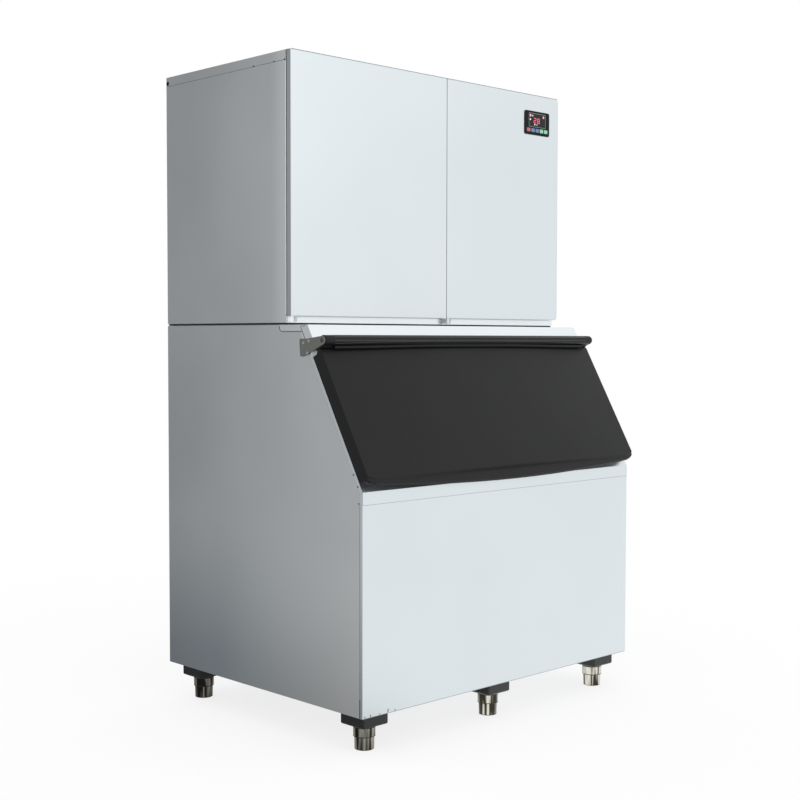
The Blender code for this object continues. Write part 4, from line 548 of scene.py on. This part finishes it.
for door in ("left_door", "right_door"):
    low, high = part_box(door)
    start_piece()
    middle = ((low[0] + high[0]) / 2, high[1] + 0.0001, (low[2] + high[2]) / 2)
    bpy.ops.mesh.primitive_plane_add(size=1, location=middle, rotation=(math.pi / 2, 0, 0))
    tape = bpy.context.object
    tape.scale = (high[0] - low[0] - 2 * tape_rim, high[2] - low[2] - 2 * tape_rim, 1)
    bpy.ops.object.transform_apply(location=True, rotation=True, scale=True)
    bpy.ops.object.mode_set(mode="EDIT")
    bpy.ops.mesh.select_all(action="SELECT")
    bpy.ops.mesh.inset(thickness=tape_wide)
    bpy.ops.mesh.delete(type="FACE")
    bpy.ops.mesh.select_all(action="SELECT")
    bpy.ops.mesh.extrude_region_move(TRANSFORM_OT_translate={"value": (0, tape_thick, 0)})
    bpy.ops.mesh.select_all(action="SELECT")
    bpy.ops.mesh.normals_make_consistent(inside=False)
    bpy.ops.object.mode_set(mode="OBJECT")
    settle(tape, f"{door}_foam_tape", foam_tape, door)

# The control panel: a black acrylic front with a framed display window, red seven-segment figures, small signal
# lamps, and five silicone keys under it.
fascia_black = moulded_plastic("black_acrylic", "#0C1011", 0.22, 6.0, 0.04)
fascia_black.node_tree.nodes["Principled BSDF"].inputs["Specular IOR Level"].default_value = 0.12
dress(fascia_black, "control_fascia")
key_colours = {"red": "#B9686C", "blue": "#6880AC", "green": "#8FD3AE"}
for number, colour in enumerate(["red", "blue", "blue", "green", "green"], 1):
    dress(moulded_plastic(f"{colour}_silicone_{number}", key_colours[colour], 0.45, 1.0, 0.1), f"key_{number}")

fascia_low, fascia_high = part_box("control_fascia")
fascia_x = (fascia_low[0] + fascia_high[0]) / 2 - 0.0033
fascia_top = fascia_high[2] - 0.0010
fascia_front = fascia_low[1]


def fascia_plate(name, across, down, wide, tall, proud, corner, finish, hollow=0.0):
    """A thin plate on the panel, given by its middle across, its top edge down, and its size."""
    start_piece()
    middle = (fascia_x + across, fascia_front - proud / 2 + 0.0003, fascia_top - down - tall / 2)
    bpy.ops.mesh.primitive_cube_add(size=1, location=middle)
    plate = bpy.context.object
    plate.scale = (wide, proud + 0.0006, tall)
    bpy.ops.object.transform_apply(location=True, rotation=True, scale=True)
    bpy.ops.object.mode_set(mode="EDIT")
    bpy.ops.mesh.select_mode(type="EDGE")
    bpy.ops.mesh.select_all(action="DESELECT")
    bpy.ops.object.mode_set(mode="OBJECT")
    for edge in plate.data.edges:
        first, second = (plate.data.vertices[end].co for end in edge.vertices)
        edge.select = abs(first.y - second.y) > proud / 2
    bpy.ops.object.mode_set(mode="EDIT")
    bpy.ops.mesh.bevel(offset=corner, segments=3, affect="EDGES")
    bpy.ops.mesh.select_mode(type="FACE")
    if hollow:
        bpy.ops.mesh.select_all(action="DESELECT")
        bpy.ops.object.mode_set(mode="OBJECT")
        for face in plate.data.polygons:
            face.select = face.normal.y < -0.9
        bpy.ops.object.mode_set(mode="EDIT")
        bpy.ops.mesh.inset(thickness=hollow)
        bpy.ops.mesh.extrude_region_move(TRANSFORM_OT_translate={"value": (0, proud * 0.8, 0)})
    bpy.ops.object.mode_set(mode="OBJECT")
    return settle(plate, name, finish, "right_door")


window_grey = moulded_plastic("grey_window_print", "#7E8587", 0.45, 3.0, 0.05)
window_smoke = moulded_plastic("smoked_window", "#1C1E1E", 0.20, 8.0, 0.03)
window_smoke.node_tree.nodes["Principled BSDF"].inputs["Specular IOR Level"].default_value = 0.2
lamp_white = moulded_plastic("white_lamp_lens", "#E8EFEC", 0.25, 1.0, 0.05)
lamp_red = moulded_plastic("red_lamp_lens", "#E9A7B4", 0.25, 1.0, 0.05)
figure_red = moulded_plastic("red_figure_lens", "#E2667E", 0.30, 1.0, 0.05)
for glowing, colour, strength in ((figure_red, "#D8405C", 0.55), (lamp_red, "#E58A9C", 0.35),
                                  (lamp_white, "#FFFFFF", 0.25)):
    glow = glowing.node_tree.nodes["Principled BSDF"]
    glow.inputs["Emission Color"].default_value = linear(colour)
    glow.inputs["Emission Strength"].default_value = strength

fascia_plate("display_frame", across=0.0030, down=0.0062, wide=0.0890, tall=0.0480, proud=0.0008, corner=0.0012,
             finish=window_grey, hollow=0.0018)
fascia_plate("display_window", across=0.0030, down=0.0074, wide=0.0866, tall=0.0456, proud=0.0003, corner=0.0010,
             finish=window_smoke)
for name, across, down, wide, tall, finish in (
        ("lamp_red_left", -0.0329, 0.0106, 0.0075, 0.0090, lamp_red),
        ("lamp_white_top", -0.0213, 0.0128, 0.0044, 0.0050, lamp_white),
        ("lamp_red_right", 0.0359, 0.0124, 0.0075, 0.0080, lamp_red),
        ("lamp_white_left", -0.0338, 0.0260, 0.0056, 0.0056, lamp_white),
        ("lamp_dot_left", -0.0106, 0.0432, 0.0046, 0.0044, lamp_white),
        ("lamp_dot_right", 0.0011, 0.0432, 0.0046, 0.0044, lamp_red)):
    fascia_plate(name, across, down, wide, tall, proud=0.0010, corner=wide * 0.35, finish=finish)

# Each figure's bars are lettered from the top one, a, clockwise to f, with g in the middle. A spot gives a bar's
# middle across, its top edge down and whether it lies level.
figure_top, figure_wide, figure_tall, figure_pitch, bar = 0.0223, 0.0135, 0.0183, 0.0185, 0.0026
bars_lit = {"2": "abged", "8": "abcdefg"}
for place, figure in enumerate("28"):
    middle = (place - 0.5) * figure_pitch
    half = figure_wide / 2 - bar / 2
    tall = figure_tall / 2
    spots = {"a": (0, 0, True), "g": (0, tall - bar / 2, True), "d": (0, figure_tall - bar, True),
             "f": (-half, bar / 2, False), "b": (half, bar / 2, False),
             "e": (-half, tall + bar / 4, False), "c": (half, tall + bar / 4, False)}
    for part in bars_lit[figure]:
        across, down, level = spots[part]
        wide, high = (figure_wide - bar, bar) if level else (bar, tall - bar * 0.75)
        fascia_plate(f"figure_{place + 1}_{part}", middle + across, figure_top + down, wide, high, proud=0.0007,
                     corner=bar * 0.35, finish=figure_red)

# The ice-making side: a tinned evaporator grid with its drawn copper coil, and white food-grade plastic round it.
tinned_copper = worked_metal("tinned_copper", "#CACBC7", "#AEB0AB", 0.28, 8.0, 0.2)
pipe_copper = worked_metal("drawn_copper", "#C98660", "#9C5F3F", 0.28, 14.0, 0.15)
water_abs = moulded_plastic("white_abs_water_parts", "#E6EAEA", 0.38, 2.0, 0.1)
pump_black = moulded_plastic("black_pump_plastic", "#1E1F20", 0.5, 1.6, 0.25)
dress(tinned_copper, "evaporator_grid")
dress(pipe_copper, "evaporator_coil", "discharge_pipe", "suction_pipe")
dress(water_abs, "water_distributor", "water_curtain", "water_trough")
dress(pump_black, "circulation_pump", "fan_blade", "cable_gland")
dress(seal_rubber, "pump_hose")

# The refrigeration side: the enamelled compressor, the finned condenser with its fan, and the electrical box.
shell_enamel = worked_metal("black_stove_enamel", "#18191A", "#101112", 0.26, 20.0, 0.15, metallic=0.0)
fin_aluminium = worked_metal("rolled_aluminium", "#D0D3D4", "#B2B6B8", 0.36, 10.0, 0.15)
inlet_brass = worked_metal("turned_brass", "#C9AC62", "#A98B45", 0.26, 4.0, 0.15)
dress(shell_enamel, "compressor", "fan_motor")
dress(fin_aluminium, "condenser")
dress(galvanised_steel, "electrical_box")
dress(inlet_brass, "water_inlet")

# The studio: a pale floor, an even white surround that lights everything, three soft walls that only reflections
# show, and one large soft lamp in front.
start_piece()
bpy.ops.mesh.primitive_plane_add(size=400, location=(0, 0, 0))
floor = bpy.context.object
floor.name = "studio_floor"
floor_paint, floor_shader = start_finish("pale_floor", "#FFFFFF", 0.9)
floor_shader.inputs["Specular IOR Level"].default_value = 0.0


def soft_boxes(owner, direction, left_power):
    """Three lit walls, in front on the right, on the left and behind on the right, as brightness by direction."""
    between_walls = 0.12
    walls = []
    for towards, start, full, power in (((0.745, -0.667, 0.0), -0.4, 0.55, 0.98),
                                        ((-1.0, 0.0, 0.0), 0.45, 0.9, left_power),
                                        ((0.50, 0.866, 0.0), 0.62, 0.95, 0.62)):
        facing = add_node(owner, "ShaderNodeVectorMath", {"operation": "DOT_PRODUCT"},
                          {0: direction, 1: towards})
        walls.append(add_node(owner, "ShaderNodeMapRange", {"interpolation_type": "SMOOTHSTEP"},
                              {"Value": facing.outputs["Value"], "From Min": start, "From Max": full,
                               "To Min": 0.0, "To Max": power}))
    lit = add_node(owner, "ShaderNodeMath", {"operation": "ADD"},
                   {0: walls[0].outputs["Result"], 1: between_walls})
    for wall in walls[1:]:
        lit = add_node(owner, "ShaderNodeMath", {"operation": "ADD"},
                       {0: lit.outputs[0], 1: wall.outputs["Result"]})
    return lit.outputs[0]


floor_place = add_node(floor_paint, "ShaderNodeTexCoord")
floor_way = add_node(floor_paint, "ShaderNodeVectorMath", {"operation": "NORMALIZE"},
                     {0: floor_place.outputs["Object"]})
floor_far = add_node(floor_paint, "ShaderNodeVectorMath", {"operation": "LENGTH"},
                     {0: floor_place.outputs["Object"]})
left_light = add_node(floor_paint, "ShaderNodeMapRange", None,
                      {"Value": floor_far.outputs["Value"], "From Min": 1.2, "From Max": 3.6, "To Min": 0.15,
                       "To Max": 0.65})
floor_glow = soft_boxes(floor_paint, floor_way.outputs["Vector"], left_light.outputs["Result"])
seen_by = add_node(floor_paint, "ShaderNodeLightPath")
wall_tint = (0.98, 0.99, 1.0, 1.0)
mirrored_floor = add_node(floor_paint, "ShaderNodeEmission", None, {"Color": wall_tint, "Strength": floor_glow})
lit_floor = add_node(floor_paint, "ShaderNodeEmission", None, {"Color": (1, 1, 1, 1), "Strength": 1.0})
# The picture's floor is four fifths plain white, so that its shadow stays as faint as the photograph's.
plain_share = 0.80
soft_shadow = add_node(floor_paint, "ShaderNodeMixShader", None,
                       {0: plain_share, 1: floor_shader.outputs[0], 2: lit_floor.outputs[0]})
by_camera = add_node(floor_paint, "ShaderNodeMixShader", None,
                     {0: seen_by.outputs["Is Camera Ray"], 1: floor_shader.outputs[0], 2: soft_shadow.outputs[0]})
by_mirror = add_node(floor_paint, "ShaderNodeMixShader", None,
                     {0: seen_by.outputs["Is Glossy Ray"], 1: by_camera.outputs[0], 2: mirrored_floor.outputs[0]})
floor_output = floor_paint.node_tree.nodes["Material Output"]
floor_paint.node_tree.links.new(by_mirror.outputs[0], floor_output.inputs["Surface"])
floor.data.materials.append(floor_paint)

surround = bpy.data.worlds.new("studio_surround")
bpy.context.scene.world = surround
surround.use_nodes = True
mirrored = surround.node_tree.nodes["Background"]
way = add_node(surround, "ShaderNodeTexCoord")
wall_glow = soft_boxes(surround, way.outputs["Generated"], 1.05)
height = add_node(surround, "ShaderNodeSeparateXYZ", None, {"Vector": way.outputs["Generated"]})
overhead = add_node(surround, "ShaderNodeMapRange", {"interpolation_type": "SMOOTHSTEP"},
                    {"Value": height.outputs["Z"], "From Min": 0.62, "From Max": 0.95, "To Min": 1.0,
                     "To Max": 0.7})
strength = add_node(surround, "ShaderNodeMath", {"operation": "MULTIPLY"}, {0: wall_glow,
                                                                           1: overhead.outputs["Result"]})
mirrored.inputs["Color"].default_value = wall_tint
surround.node_tree.links.new(strength.outputs[0], mirrored.inputs["Strength"])
plain = add_node(surround, "ShaderNodeBackground", None, {"Color": (1, 1, 1, 1), "Strength": 1.0})
seen = add_node(surround, "ShaderNodeLightPath")
choose = add_node(surround, "ShaderNodeMixShader", None,
                  {0: seen.outputs["Is Glossy Ray"], 1: plain.outputs[0], 2: mirrored.outputs[0]})
surround.node_tree.links.new(choose.outputs[0], surround.node_tree.nodes["World Output"].inputs["Surface"])

start_piece()
bpy.ops.object.light_add(type="AREA", location=(1.5, -5.0, 4.0))
lamp = bpy.context.object
lamp.name = "soft_lamp"
lamp.data.size = 4.0
lamp.data.energy = 15
lamp.rotation_euler = (Vector((0, 0, 1.0)) - lamp.location).to_track_quat("-Z", "Y").to_euler()

# The camera stands where the photograph was taken, at about chest height, half way round to the left.
bpy.ops.object.camera_add(location=(-3.1355, -3.2535, 1.1892))
camera = bpy.context.object
camera.name = "photo_camera"
camera.data.sensor_width = 36.0
camera.data.lens = 60.68
yaw, pitch, roll = 0.7656, -0.0456, 0.0017
camera.rotation_euler = (Matrix.Rotation(-yaw, 4, "Z") @ Matrix.Rotation(math.pi / 2 + pitch, 4, "X")
                         @ Matrix.Rotation(roll, 4, "Z")).to_euler()
bpy.context.scene.camera = camera
bpy.context.scene.view_settings.view_transform = "Standard"
